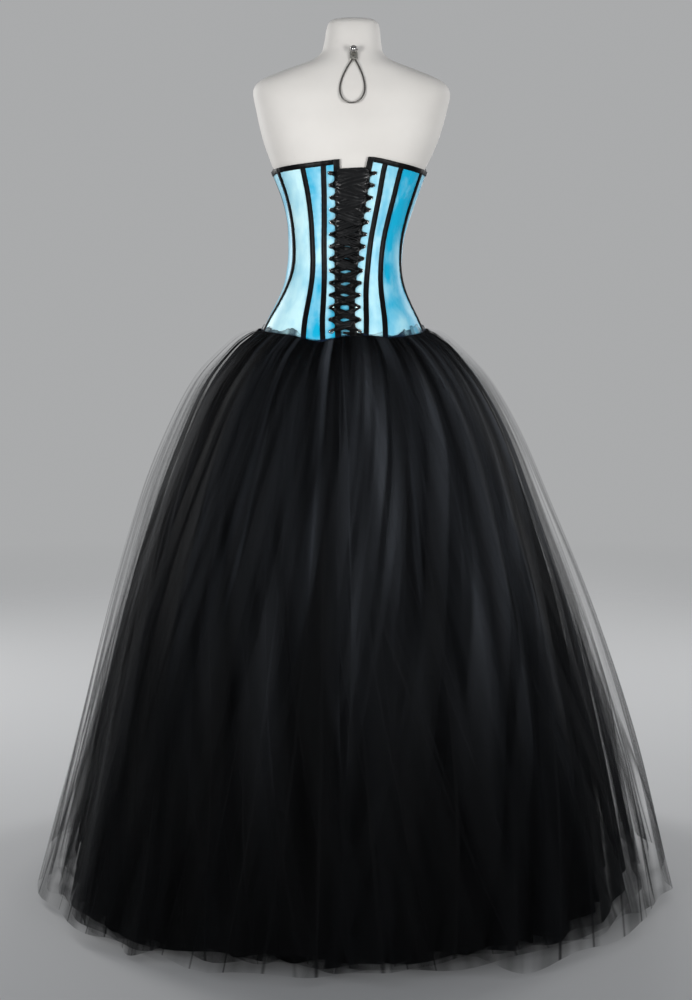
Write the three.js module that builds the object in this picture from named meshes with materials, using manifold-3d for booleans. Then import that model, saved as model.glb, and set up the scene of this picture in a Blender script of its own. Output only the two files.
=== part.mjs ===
// A strapless prom dress on a limbless display form: a laced satin bodice over a full two-layer tulle skirt.
// Millimetres, +Z up. The floor is z = 0, and the origin is the middle of the stand's foot.
// The laced back of the dress faces -Y and its front faces +Y.
import * as THREE from "three";
import Module from "manifold-3d";

const wasm = await Module();
wasm.setup();

// The form's level cross sections, from the neck cap down to the hips.
// side is the half width, and lean is how far the section sits to one side of the stand.
const formSections = [
  { z: 1550, side: 22, back: 10, front: 34, lean: 9.5 },
  { z: 1547, side: 36, back: 24, front: 47, lean: 9.4 },
  { z: 1538, side: 45, back: 35, front: 57, lean: 9.2 },
  { z: 1505, side: 50.8, back: 45, front: 58, lean: 8 },
  { z: 1488, side: 56, back: 52, front: 56, lean: 7.2 },
  { z: 1475, side: 74, back: 59, front: 56, lean: 6.4 },
  { z: 1461, side: 113, back: 67, front: 58, lean: 5 },
  { z: 1443, side: 157, back: 76, front: 63, lean: 4.6 },
  { z: 1430, side: 171.5, back: 82, front: 68, lean: 5.4 },
  { z: 1416, side: 174.5, back: 87, front: 74, lean: 6.4 },
  { z: 1392, side: 170, back: 92, front: 83, lean: 6.4 },
  { z: 1362, side: 163, back: 97, front: 95, lean: 5.6 },
  { z: 1332, side: 154, back: 96, front: 103, lean: 4.6 },
  { z: 1306, side: 143.5, back: 92, front: 108, lean: 3.4 },
  { z: 1284, side: 133.5, back: 89, front: 110, lean: 2.4 },
  { z: 1262, side: 124.6, back: 86, front: 109, lean: 2.6 },
  { z: 1240, side: 116.6, back: 83, front: 106, lean: 2.8 },
  { z: 1216, side: 109, back: 80, front: 101, lean: 1.8 },
  { z: 1192, side: 103, back: 77, front: 96, lean: 0 },
  { z: 1168, side: 99, back: 75, front: 92, lean: -2.6 },
  { z: 1144, side: 97, back: 74, front: 90, lean: -4.6 },
  { z: 1120, side: 96.8, back: 74.5, front: 89, lean: -5.8 },
  { z: 1096, side: 99.6, back: 77, front: 90, lean: -6.7 },
  { z: 1072, side: 106.4, back: 82, front: 92, lean: -7.5 },
  { z: 1048, side: 117, back: 89, front: 95, lean: -8.1 },
  { z: 1024, side: 129.4, back: 97, front: 98, lean: -8.5 },
  { z: 1000, side: 140, back: 105, front: 101, lean: -8.5 },
  { z: 970, side: 150, back: 113, front: 102, lean: -8.5 },
  { z: 935, side: 156, back: 119, front: 100, lean: -8.5 },
  { z: 895, side: 154, back: 117, front: 95, lean: -8.5 },
  { z: 880, side: 140, back: 104, front: 82, lean: -8.5 },
];
const cornerFullness = 0.05; // how much a cross section fills out between its back and its sides
const bust = { height: 20, turn: 2.5, turnSpread: 0.44, z: 1268, zSpread: 54 };

// How far each layer of cloth lies from the form's skin.
const modesty = { inner: 0.6, outer: 1.6, top: 1282, bottom: 986, overlap: 13 };
const panel = { inner: 3.4, outer: 5.2 };
const binding = { inner: 2, innerFace: 2.8, outerFace: 5.9, outer: 6.9, cap: 1.4, gap: 0.4, depth: 7, width: 8.5 };
const boneTape = { face: 5.9, shoulder: 7, crown: 7.6, width: 9, flat: 5.6 };
const ribbon = { thick: 1.3, tip: 4, topWidth: 28, lowWidth: 11, crossing: 0.9, narrowBy: 9 };
const ribbonShape = [
  { at: 0, spread: 0, out: 6.5 },
  { at: 0.12, spread: 0.4, out: 7.8 },
  { at: 0.3, spread: 0.95, out: 8.9 },
  { at: 0.7, spread: 0.95, out: 8.9 },
  { at: 0.88, spread: 0.4, out: 7.8 },
  { at: 1, spread: 0, out: 6.5 },
];
const eyelets = { count: 14, topZ: 1277, bottomZ: 1003.4, inset: 14.5 };
const seamGap = 0.3;
const aboveSeam = 2.4; // the trim ends this far over the waist seam
const bodiceBelowSeam = 13; // the satin runs on under the top of the skirt

// Heights of the bodice's two edges, at turns in degrees from the centre back. The left side is negative.
const topEdge = [
  { turn: -180, z: 1298 },
  { turn: -160, z: 1314 },
  { turn: -138, z: 1322 },
  { turn: -115, z: 1290 },
  { turn: -90, z: 1281 },
  { turn: -60, z: 1286 },
  { turn: -30, z: 1293 },
  { turn: 0, z: 1301 },
  { turn: 15, z: 1303 },
  { turn: 35, z: 1294 },
  { turn: 60, z: 1285 },
  { turn: 90, z: 1281 },
  { turn: 115, z: 1290 },
  { turn: 138, z: 1322 },
  { turn: 160, z: 1314 },
  { turn: 180, z: 1298 },
];
const waistSeam = [
  { turn: -180, z: 984 },
  { turn: -130, z: 998 },
  { turn: -90, z: 1003 },
  { turn: -38, z: 999 },
  { turn: -17, z: 989 },
  { turn: 0, z: 997 },
  { turn: 14, z: 999 },
  { turn: 32, z: 995 },
  { turn: 60, z: 999 },
  { turn: 90, z: 1003 },
  { turn: 130, z: 998 },
  { turn: 180, z: 984 },
];

// Seams of each half, in degrees from the centre back at five shares of the bodice's height.
const seamShares = { bottom: 0, low: 0.24, waist: 0.46, high: 0.72, top: 1 };
const leftSeams = {
  edge: { bottom: 1.9, low: 3.4, waist: 5.4, high: 7.8, top: 7.8 },
  back: { bottom: 13.2, low: 17.2, waist: 20.7, high: 22.4, top: 18.4 },
  sideBack: { bottom: 26.9, low: 30.5, waist: 32.5, high: 35.5, top: 34.4 },
  side: { bottom: 76, low: 67, waist: 58.6, high: 62, top: 61.5 },
  sideFront: { bottom: 108, low: 105.6, waist: 104, high: 103.7, top: 104 },
  front: { bottom: 146, low: 149.6, waist: 151, high: 147.1, top: 141 },
};
const rightSeams = {
  edge: { bottom: 5.2, low: 5.6, waist: 8.7, high: 9.8, top: 13.2 },
  back: { bottom: 15.3, low: 19.7, waist: 23.8, high: 24.6, top: 25.4 },
  sideBack: { bottom: 28.3, low: 34, waist: 37.2, high: 37.9, top: 38.5 },
  side: { bottom: 76, low: 75.4, waist: 71, high: 64.4, top: 63.8 },
  sideFront: { bottom: 108, low: 106.8, waist: 106, high: 105.9, top: 106 },
  front: { bottom: 146, low: 149.6, waist: 151, high: 147.1, top: 141 },
};
const seamOrder = ["edge", "back", "sideBack", "side", "sideFront", "front"];
const panelColumns = { back: 2, side_back: 2, side: 3, side_front: 4, princess: 4 };
const frontColumns = 6;
const panelShares = [0, 0.08, 0.165, 0.25, 0.335, 0.42, 0.505, 0.59, 0.675, 0.76, 0.84, 0.912, 0.976, 1];

// The skirt's rings, each given by its drop below the waist seam. fold is half the depth of its folds, and
// back and front are its depths as shares of the half width. A ring with no side lies on the bodice.
const overRows = [
  { drop: 0, side: 0, fold: 0.4, back: 0, front: 0, lean: 0 },
  { drop: 0.6, side: 162, fold: 1, back: 0.8, front: 0.77, lean: -9 },
  { drop: 5, side: 182, fold: 1.6, back: 0.84, front: 0.8, lean: -11 },
  { drop: 28, side: 213, fold: 3, back: 0.88, front: 0.85, lean: -12 },
  { drop: 88, side: 270, fold: 6, back: 0.92, front: 0.9, lean: -13 },
  { drop: 183, side: 324, fold: 9.5, back: 0.95, front: 0.94, lean: -11 },
  { drop: 311, side: 378, fold: 13, back: 0.97, front: 0.96, lean: -9 },
  { drop: 500, side: 446, fold: 17, back: 0.99, front: 0.98, lean: 2 },
  { drop: 740, side: 519, fold: 22, back: 1, front: 0.99, lean: 12 },
  { drop: 998, side: 588, fold: 27, back: 1, front: 1, lean: 12 },
];
const underRows = [
  { drop: 7, side: 0, fold: 0.2, back: 0, front: 0, lean: 0 },
  { drop: 11, side: 162, fold: 1, back: 0.79, front: 0.76, lean: -9 },
  { drop: 38, side: 196, fold: 2, back: 0.85, front: 0.83, lean: -9 },
  { drop: 100, side: 243, fold: 4, back: 0.91, front: 0.89, lean: -7 },
  { drop: 190, side: 286, fold: 6.5, back: 0.95, front: 0.93, lean: -3 },
  { drop: 320, side: 333, fold: 9, back: 0.97, front: 0.96, lean: -4 },
  { drop: 500, side: 388, fold: 12, back: 0.99, front: 0.98, lean: -4 },
  { drop: 740, side: 442, fold: 16, back: 1, front: 0.99, lean: -7 },
  { drop: 1000, side: 496, fold: 20, back: 1, front: 1, lean: -14 },
];
const overSkirt = { name: "skirt_over", rows: overRows, folds: 28, thick: 1.6, seed: 3 };
const underSkirt = { name: "skirt_under", rows: underRows, folds: 20, thick: 1.6, seed: 8 };
const skirtStart = 5.6; // how far the gathered top lies from the form's skin
const levelWaist = 1003;
const seamFade = 300; // below this drop the rings are level

// The stand and the hanging loop of the form.
const foot = { radius: 160, height: 12, edge: 3 };
const pole = { radius: 14, top: 879.6 };
const screw = {
  z: 1490.4,
  aside: 2.3,
  rings: [
    { radius: 2.2, out: 1.5 },
    { radius: 2.2, out: 10 },
    { radius: 5.6, out: 11.6 },
    { radius: 6.6, out: 15 },
    { radius: 5.4, out: 19 },
    { radius: 2.4, out: 21.4 },
  ],
};
const ferrule = { standOff: 5.6, tilt: 24.5, eye: 7.2, eyeHole: 3.5, thick: 2.6, width: 14, drop: 5, height: 15 };
const hangWire = { diameter: 3, length: 84, half: 26.5, pinch: 0.55, spread: 2.6, sway: 3.4, steps: 24, sides: 6 };

// Colours as seen in the photograph.
const colours = {
  satin: { color: 0x3fc0e6, roughness: 0.35, metalness: 0 },
  black: { color: 0x101012, roughness: 0.4, metalness: 0 },
  tulle: { color: 0x0b0b0d, roughness: 0.8, metalness: 0 },
  form: { color: 0xe9e6e1, roughness: 0.6, metalness: 0 },
  steel: { color: 0x9a9a9a, roughness: 0.3, metalness: 1 },
  stand: { color: 0x1a1a1c, roughness: 0.5, metalness: 0.4 },
};

const radians = (degrees) => (degrees * Math.PI) / 180;
const mix = (a, b, share) => a + (b - a) * share;
const uneven = (index, seed) => Math.sin(index * 12.9898 + seed * 7.233) * Math.cos(index * 4.1 + seed);
const list = (size, make) => Array.from({ length: size }, (_, i) => make(i));

// A smooth curve through the rows of a table, read at a place on its key column.
function read(table, key, place, column) {
  const last = table.length - 2;
  const sign = Math.sign(table[1][key] - table[0][key]);
  let i = 0;
  while (i < last && (place - table[i + 1][key]) * sign > 0) i++;
  const [a, b] = [table[i], table[i + 1]];
  const span = b[key] - a[key];
  const share = Math.min(1, Math.max(0, (place - a[key]) / span));
  const slope = (low, high) => (high[column] - low[column]) / (high[key] - low[key]);
  const slopeAt = (row) => slope(table[Math.max(0, row - 1)], table[Math.min(last + 1, row + 1)]);
  const [s2, s3] = [share ** 2, share ** 3];
  const start = (2 * s3 - 3 * s2 + 1) * a[column] + (s3 - 2 * s2 + share) * slopeAt(i) * span;
  return start + (3 * s2 - 2 * s3) * b[column] + (s3 - s2) * slopeAt(i + 1) * span;
}

function bustLift(turn, z) {
  const around = Math.abs(Math.atan2(Math.sin(turn), Math.cos(turn)));
  const across = (around - bust.turn) / bust.turnSpread;
  const up = (z - bust.z) / bust.zSpread;
  return bust.height * Math.exp(-across * across - up * up);
}

// A level outline at a turn from the centre back, moved out by out. speed is its length for each radian.
function outlinePoint(turn, { side, back, front, lean }, out) {
  const curve = (angle) => {
    const full = 1 + cornerFullness * Math.sin(2 * angle) ** 2;
    const depth = Math.cos(angle) > 0 ? back : front;
    return [side * Math.sin(angle) * full, -depth * Math.cos(angle) * full];
  };
  const step = 0.002;
  const [ahead, here, behind] = [curve(turn + step), curve(turn), curve(turn - step)];
  const [dx, dy] = [ahead[0] - behind[0], ahead[1] - behind[1]];
  const length = Math.hypot(dx, dy);
  return { x: here[0] + lean + (dy / length) * out, y: here[1] - (dx / length) * out, speed: length / (2 * step) };
}

function formSection(z) {
  const at = (column) => read(formSections, "z", z, column);
  return { side: at("side"), back: at("back"), front: at("front"), lean: at("lean") };
}

// A point near the form's skin: out is how far it stands off, and along how far it is shifted round the body.
function bodyPoint(turn, z, out, along = 0) {
  const section = formSection(z);
  const shifted = along ? turn + along / outlinePoint(turn, section, 0).speed : turn;
  const { x, y } = outlinePoint(shifted, section, out + bustLift(shifted, z));
  return new THREE.Vector3(x, y, z);
}

function edgeHeight(table, turn) {
  const around = Math.atan2(Math.sin(turn), Math.cos(turn));
  return read(table, "turn", (around * 180) / Math.PI, "z");
}
const topHeight = (turn) => edgeHeight(topEdge, turn);
const seamHeight = (turn) => edgeHeight(waistSeam, turn);
const bodiceLow = (turn) => seamHeight(turn) - bodiceBelowSeam;
const bodiceHeight = (turn, share) => mix(bodiceLow(turn), topHeight(turn), share);
const shareAt = (turn, z) => (z - bodiceLow(turn)) / (topHeight(turn) - bodiceLow(turn));

// The turn of a seam at a share of the bodice's height, signed for its side.
function seamTurn(side, name, share) {
  const turns = (side < 0 ? leftSeams : rightSeams)[name];
  const table = Object.entries(seamShares).map(([place, at]) => ({ at, turn: turns[place] }));
  return side * radians(read(table, "at", share, "turn"));
}

// A mesh from points and faces, with its faces turned outwards.
function named(name, points, faces, look) {
  const [volume, cross] = [faces.map(([a, b, c]) => [points[a], points[b], points[c]]), new THREE.Vector3()];
  const signed = volume.reduce((sum, [a, b, c]) => sum + a.dot(cross.crossVectors(b, c)), 0);
  const geometry = new THREE.BufferGeometry();
  const flat = points.flatMap((point) => point.toArray());
  geometry.setAttribute("position", new THREE.Float32BufferAttribute(flat, 3));
  geometry.setIndex(faces.flatMap(([a, b, c]) => (signed > 0 ? [a, b, c] : [a, c, b])));
  return finish(name, geometry, look);
}

function finish(name, geometry, look) {
  const mesh = new THREE.Mesh(geometry, new THREE.MeshStandardMaterial(look));
  mesh.name = name;
  return mesh;
}

// A loft through closed sections of as many points each. cap lists the triangles that close an end.
function loft(name, sections, cap, look) {
  const size = sections[0].length;
  const faces = [];
  const spans = cap ? sections.length - 1 : sections.length;
  for (let s = 0; s < spans; s++) {
    const here = s * size;
    const next = ((s + 1) % sections.length) * size;
    for (let i = 0; i < size; i++) {
      const j = (i + 1) % size;
      faces.push([here + i, here + j, next + j], [here + i, next + j, next + i]);
    }
  }
  const end = (sections.length - 1) * size;
  for (const [a, b, c] of cap ?? []) faces.push([c, b, a], [end + a, end + b, end + c]);
  return named(name, sections.flat(), faces, look);
}

const fan = (size) => list(size - 2, (i) => [0, i + 1, i + 2]);

// A wall of cloth between an outer and an inner grid, each a list of columns. A tube joins its last column to its first.
function wall(name, outer, inner, look, tube = false) {
  const rows = outer[0].length;
  const sections = outer.map((column, i) => [...column, ...inner[i].slice().reverse()]);
  const strip = list(rows - 1, (i) => [
    [i, i + 1, 2 * rows - 2 - i],
    [i, 2 * rows - 2 - i, 2 * rows - 1 - i],
  ]).flat();
  return loft(name, sections, tube ? null : strip, look);
}

function formTorso() {
  const around = 24;
  const rings = formSections.map(({ z }) => list(around, (i) => bodyPoint((i * 2 * Math.PI) / around, z, 0)));
  return loft("form_torso", rings, fan(around), colours.form);
}

// A turned piece from rings, each a radius and a distance along its axis.
function turned(name, rings, sides, look, place) {
  const sections = rings.map(([radius, distance]) =>
    list(sides, (i) => {
      const angle = (i * 2 * Math.PI) / sides;
      return place(radius * Math.cos(angle), radius * Math.sin(angle), distance);
    }),
  );
  return loft(name, sections, fan(sides), look);
}

function stand() {
  const upright = (x, y, z) => new THREE.Vector3(x, y, z);
  const footRings = [
    [foot.radius, 0],
    [foot.radius, foot.height - foot.edge],
    [foot.radius - foot.edge, foot.height],
  ];
  const poleRings = [
    [pole.radius, foot.height + seamGap],
    [pole.radius, pole.top],
  ];
  return [
    turned("stand_foot", footRings, 36, colours.stand, upright),
    turned("stand_pole", poleRings, 16, colours.stand, upright),
  ];
}

// The hanging loop: a ball-headed screw in the nape, an eye with its sleeve, and a wire rope held in the sleeve.
// The sleeve and the rope lie in one plane, which leans back from the screw onto the shoulders.
const nape = bodyPoint(0, screw.z, 0).add(new THREE.Vector3(screw.aside, 0, 0));
const loopDown = new THREE.Vector3(0, -Math.sin(radians(ferrule.tilt)), -Math.cos(radians(ferrule.tilt)));
const loopOut = new THREE.Vector3(0, loopDown.z, -loopDown.y);
const loopEye = nape.clone().add(new THREE.Vector3(0, -ferrule.standOff, 0));

function hangScrew() {
  const place = (x, z, out) => new THREE.Vector3(nape.x + x, nape.y - out, nape.z + z);
  return turned("hang_screw", screw.rings.map(({ radius, out }) => [radius, out]), 14, colours.steel, place);
}

function hangFerrule() {
  const half = ferrule.width / 2;
  const join = Math.asin((half * 0.75) / ferrule.eye);
  const shape = new THREE.Shape();
  shape.moveTo(-half, -ferrule.drop - ferrule.height);
  shape.lineTo(half, -ferrule.drop - ferrule.height);
  shape.lineTo(half, -ferrule.drop);
  shape.absarc(0, 0, ferrule.eye, join - Math.PI / 2, Math.PI * 1.5 - join, false);
  shape.lineTo(-half, -ferrule.drop);
  shape.closePath();
  const hole = new THREE.Path();
  hole.absarc(0, 0, ferrule.eyeHole, 0, Math.PI * 2, true);
  shape.holes.push(hole);
  const geometry = new THREE.ExtrudeGeometry(shape, { depth: ferrule.thick, curveSegments: 8, bevelEnabled: false });
  geometry.translate(0, 0, -ferrule.thick / 2);
  geometry.applyMatrix4(new THREE.Matrix4().makeBasis(new THREE.Vector3(1, 0, 0), loopDown.clone().negate(), loopOut));
  geometry.translate(loopEye.x, loopEye.y, loopEye.z);
  return finish("hang_ferrule", geometry, colours.steel);
}

// The rope makes a teardrop, from one side of the sleeve down round and back to the other.
function hangRope() {
  const low = ferrule.drop + ferrule.height + seamGap;
  const radius = hangWire.diameter / 2;
  const path = (share) => {
    const fall = (1 - Math.cos(2 * Math.PI * share)) / 2;
    const swell = Math.sin(2 * Math.PI * share) * fall ** hangWire.pinch;
    const side = -hangWire.spread * Math.cos(Math.PI * share) - hangWire.half * swell - hangWire.sway * fall;
    return [side, low + hangWire.length * fall];
  };
  const sections = list(hangWire.steps + 1, (i) => {
    const share = i / hangWire.steps;
    const [side, down] = path(share);
    const [ahead, behind] = [path(Math.min(1, share + 0.01)), path(Math.max(0, share - 0.01))];
    const end = i === 0 || i === hangWire.steps;
    const heading = end ? Math.PI / 2 : Math.atan2(ahead[1] - behind[1], ahead[0] - behind[0]);
    const turn = i === hangWire.steps ? -heading : heading;
    return list(hangWire.sides, (k) => {
      const angle = (k * 2 * Math.PI) / hangWire.sides;
      const across = radius * Math.cos(angle);
      const spot = loopEye.clone().addScaledVector(loopDown, down + across * Math.cos(turn));
      spot.x += side - across * Math.sin(turn);
      return spot.addScaledVector(loopOut, radius * Math.sin(angle));
    });
  });
  return loft("hang_wire", sections, fan(hangWire.sides), colours.steel);
}

// One panel of the bodice. placeAt gives the turn and height of a grid point and its shift along the body.
function bodicePanel(name, columns, placeAt) {
  const grid = (out) =>
    list(columns + 1, (i) =>
      panelShares.map((share) => {
        const [turn, z, along] = placeAt(i / columns, share);
        return bodyPoint(turn, z, out, along);
      }),
    );
  return wall(name, grid(panel.outer), grid(panel.inner), colours.satin);
}

function bodicePanels() {
  const pieces = [];
  for (const side of [-1, 1]) {
    Object.entries(panelColumns).forEach(([name, columns], k) => {
      const placeAt = (across, share) => {
        const turn = mix(seamTurn(side, seamOrder[k], share), seamTurn(side, seamOrder[k + 1], share), across);
        return [turn, bodiceHeight(turn, share), side * seamGap * (0.5 - across)];
      };
      pieces.push(bodicePanel(`bodice_${name}_${side < 0 ? "left" : "right"}`, columns, placeAt));
    });
  }
  const placeFront = (across, share) => {
    const turn = mix(seamTurn(1, "front", share), seamTurn(-1, "front", share) + 2 * Math.PI, across);
    return [turn, bodiceHeight(turn, share), seamGap * (0.5 - across)];
  };
  pieces.push(bodicePanel("bodice_front", frontColumns, placeFront));
  return pieces;
}

// A place on a seam's line of panel points, which runs straight from each row to the next.
function onSeam(side, name, share, out, along) {
  const next = Math.max(1, panelShares.findIndex((at) => at >= Math.min(1, share)));
  const [low, high] = [panelShares[next - 1], panelShares[next]];
  const [from, to] = [low, high].map((at) => {
    const turn = seamTurn(side, name, at);
    return bodyPoint(turn, bodiceHeight(turn, at), out, along);
  });
  return from.lerp(to, (share - low) / (high - low));
}

// A strip that follows a seam. Its section lists a stand-off and a shift along the body for each point.
// It ends rise over the waist seam and fall under the top edge, and is cut to the slope of both.
function seamStrip(label, side, name, section, cap, rise, fall) {
  const endShare = (share, height) => (along) => {
    const turn = seamTurn(side, name, share);
    const { speed } = outlinePoint(turn, formSection(height(turn)), 0);
    return shareAt(turn, height(turn + along / speed));
  };
  const low = endShare(0, (turn) => seamHeight(turn) + rise);
  const high = endShare(1, (turn) => topHeight(turn) - fall);
  const between = panelShares.filter((share) => share > low(0) + 0.02 && share < high(0) - 0.02);
  const stations = [low, ...between.map((share) => () => share), high];
  const sections = stations.map((at) => section.map(([out, along]) => onSeam(side, name, at(along), out, along)));
  return loft(`${label}_${side < 0 ? "left" : "right"}`, sections, cap, colours.black);
}

// A satin tape with a bone in it, sewn down over each seam from the top binding to the waist seam.
function boneTapes() {
  const half = boneTape.width / 2;
  const section = [
    [boneTape.face, -half],
    [boneTape.face, half],
    [boneTape.shoulder, boneTape.flat / 2],
    [boneTape.crown, 0],
    [boneTape.shoulder, -boneTape.flat / 2],
  ];
  return [-1, 1].flatMap((side) =>
    seamOrder.slice(1).map((name) => {
      const label = `tape_${name.replace("B", "_b").replace("F", "_f")}`;
      return seamStrip(label, side, name, section, fan(5), aboveSeam, binding.depth + 0.8);
    }),
  );
}

// A binding is folded over an edge. Each point of its section is a stand-off and a reach past the edge.
function foldedSection(depth) {
  const { inner, innerFace, outerFace, outer, cap, gap } = binding;
  return [
    [outer, -depth],
    [outer, cap],
    [inner, cap],
    [inner, -depth],
    [innerFace, -depth],
    [innerFace, gap],
    [outerFace, gap],
    [outerFace, -depth],
  ];
}
const foldedCap = [
  [0, 1, 6],
  [0, 6, 7],
  [1, 2, 5],
  [1, 5, 6],
  [2, 3, 4],
  [2, 4, 5],
];

// The panels' columns at the top edge, from the right back edge round the front to the left back edge.
// Each gives its turn at a share of the bodice's height.
function edgeColumns() {
  const columns = [];
  const add = (from, to, count) => {
    for (let i = 1; i <= count; i++) columns.push((share) => mix(from(share), to(share), i / count));
  };
  const right = seamOrder.map((name) => (share) => seamTurn(1, name, share));
  const left = seamOrder.map((name) => (share) => seamTurn(-1, name, share) + 2 * Math.PI);
  const counts = Object.values(panelColumns);
  counts.forEach((count, k) => add(right[k], right[k + 1], count));
  add(right[5], left[5], frontColumns);
  counts.forEach((_, k) => add(left[5 - k], left[4 - k], counts[4 - k]));
  return columns;
}

function topBinding() {
  const clearOfEdge = (side) => (share) => {
    const turn = seamTurn(side, "edge", share);
    const { speed } = outlinePoint(turn, formSection(bodiceHeight(turn, share)), 0);
    return turn + (side * (binding.width + binding.gap)) / speed + (side < 0 ? 2 * Math.PI : 0);
  };
  const [start, end] = [clearOfEdge(1), clearOfEdge(-1)];
  const between = edgeColumns().filter((column) => column(1) > start(1) + 0.03 && column(1) < end(1) - 0.03);
  const sections = [start, ...between, end].map((column) =>
    foldedSection(binding.depth).map(([out, rise]) => {
      const [spot, lower] = [1, panelShares.at(-2)].map((share) => {
        const turn = column(share);
        return bodyPoint(turn, bodiceHeight(turn, share), out);
      });
      return spot.addScaledVector(spot.clone().sub(lower).normalize(), rise);
    }),
  );
  return loft("binding_top", sections, foldedCap, colours.black);
}

function edgeBindings() {
  return [-1, 1].map((side) => {
    const section = foldedSection(binding.width).map(([out, reach]) => [out, side * (seamGap / 2 - reach)]);
    return seamStrip("binding_edge", side, "edge", section, foldedCap, aboveSeam, -binding.cap);
  });
}

// The panel behind the lacing, which reaches under both back edges.
function modestyPanel() {
  const columns = [
    { across: 0, along: -modesty.overlap },
    { across: 0, along: 0 },
    { across: 0.5, along: 0 },
    { across: 1, along: 0 },
    { across: 1, along: modesty.overlap },
  ];
  const grid = (out) =>
    columns.map(({ across, along }) =>
      panelShares.map((share) => {
        const turn = mix(seamTurn(-1, "edge", share), seamTurn(1, "edge", share), across);
        const z = Math.min(modesty.top, Math.max(modesty.bottom, bodiceHeight(turn, share)));
        return bodyPoint(turn, z, out, along);
      }),
    );
  return wall("modesty_panel", grid(modesty.outer), grid(modesty.inner), colours.satin);
}

// Where an eyelet sits: its turn and its height.
function eyeletPlace(side, index) {
  const z = mix(eyelets.topZ, eyelets.bottomZ, index / (eyelets.count - 1));
  const edge = seamTurn(side, "edge", shareAt(seamTurn(side, "edge", 0.5), z));
  return { turn: edge + (side * eyelets.inset) / outlinePoint(edge, formSection(z), 0).speed, z };
}

// One run of the lacing between two eyelets: gathered into both and spread out between them.
function ribbonRun(from, to, width, crossing) {
  const sections = ribbonShape.map(({ at, spread, out }) => {
    const half = mix(ribbon.tip, width, spread) / 2;
    const turn = mix(from.turn, to.turn, at);
    const low = out + crossing * spread;
    return [
      [low, -half],
      [low, half],
      [low + ribbon.thick, half * 0.85],
      [low + ribbon.thick, -half * 0.85],
    ].map(([stand, rise]) => bodyPoint(turn, mix(from.z, to.z, at) + rise, stand));
  });
  return loft("ribbon_run", sections, fan(4), colours.black);
}

function solid(mesh) {
  const position = mesh.geometry.attributes.position.array;
  const triangles = new Uint32Array(mesh.geometry.index.array);
  return new wasm.Manifold(new wasm.Mesh({ numProp: 3, vertProperties: position, triVerts: triangles }));
}

// The lacing is one long ribbon: a bar across the top pair of eyelets, then crossings down to the last pair.
function lacing() {
  const runs = [ribbonRun(eyeletPlace(-1, 0), eyeletPlace(1, 0), ribbon.topWidth * 0.6, 0)];
  for (let i = 0; i < eyelets.count - 1; i++) {
    const width = mix(ribbon.topWidth, ribbon.lowWidth, Math.min(1, i / ribbon.narrowBy));
    runs.push(ribbonRun(eyeletPlace(-1, i), eyeletPlace(1, i + 1), width, 0));
    runs.push(ribbonRun(eyeletPlace(1, i), eyeletPlace(-1, i + 1), width, ribbon.crossing));
  }
  const { vertProperties, triVerts } = wasm.Manifold.union(runs.map(solid)).getMesh();
  const geometry = new THREE.BufferGeometry();
  geometry.setAttribute("position", new THREE.BufferAttribute(vertProperties, 3));
  geometry.setIndex(Array.from(triVerts));
  return finish("lacing_ribbon", geometry, colours.black);
}

// The inside of a skirt layer, as columns of points. Every fold is a crest, a valley and two flanks.
function skirtGrid({ rows, folds, seed }) {
  const waves = [0, 0.9, 2, 1.1];
  const columns = folds * waves.length;
  return list(columns, (i) => {
    const fold = Math.floor(i / waves.length);
    const turn = ((i + 0.3 * uneven(i, seed)) * 2 * Math.PI) / columns;
    const crest = 0.2 + 0.2 * uneven(fold, seed + 2);
    const valley = 0.7 + 0.3 * uneven(fold, seed + 5);
    const wave = crest + waves[i % waves.length] * valley;
    return rows.map((row) => {
      const fade = Math.min(1, row.drop / seamFade);
      const z = mix(seamHeight(turn), levelWaist, fade * fade * (3 - 2 * fade)) - row.drop;
      if (!row.side) return bodyPoint(turn, z, skirtStart + row.fold * (2 - wave));
      const section = { side: row.side, back: row.side * row.back, front: row.side * row.front, lean: row.lean };
      const { x, y } = outlinePoint(turn, section, -row.fold * wave);
      return new THREE.Vector3(x, y, z);
    });
  });
}

// Moves each point of a tube's grid outwards, square to the cloth.
function thickened(grid, thick) {
  return grid.map((column, i) => {
    const [ahead, behind] = [grid[(i + 1) % grid.length], grid[(i + grid.length - 1) % grid.length]];
    return column.map((point, j) => {
      const around = ahead[j].clone().sub(behind[j]);
      const down = column[Math.min(j + 1, column.length - 1)].clone().sub(column[Math.max(j - 1, 0)]);
      return point.clone().addScaledVector(down.cross(around).normalize(), thick);
    });
  });
}

function skirtLayer(layer) {
  const grid = skirtGrid(layer);
  return wall(layer.name, thickened(grid, layer.thick), grid, colours.tulle, true);
}

const dress = new THREE.Group();
dress.add(
  formTorso(),
  ...stand(),
  hangScrew(),
  hangFerrule(),
  hangRope(),
  ...bodicePanels(),
  ...boneTapes(),
  topBinding(),
  ...edgeBindings(),
  modestyPanel(),
  lacing(),
  skirtLayer(overSkirt),
  skirtLayer(underSkirt),
);

export default dress;
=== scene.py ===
import math

import bpy
import numpy as np
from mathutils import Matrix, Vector


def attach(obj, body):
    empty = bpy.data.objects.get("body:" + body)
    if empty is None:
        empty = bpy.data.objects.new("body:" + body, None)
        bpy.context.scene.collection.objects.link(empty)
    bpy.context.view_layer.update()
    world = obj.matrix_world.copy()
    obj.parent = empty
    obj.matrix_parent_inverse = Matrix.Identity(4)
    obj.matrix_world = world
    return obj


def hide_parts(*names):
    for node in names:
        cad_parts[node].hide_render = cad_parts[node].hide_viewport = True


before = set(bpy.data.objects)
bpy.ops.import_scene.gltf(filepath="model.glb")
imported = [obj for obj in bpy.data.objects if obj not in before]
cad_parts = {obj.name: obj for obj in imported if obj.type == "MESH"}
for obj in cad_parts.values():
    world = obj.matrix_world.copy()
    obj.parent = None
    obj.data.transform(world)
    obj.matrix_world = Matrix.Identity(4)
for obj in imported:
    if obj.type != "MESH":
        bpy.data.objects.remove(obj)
scene = bpy.context.scene
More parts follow.
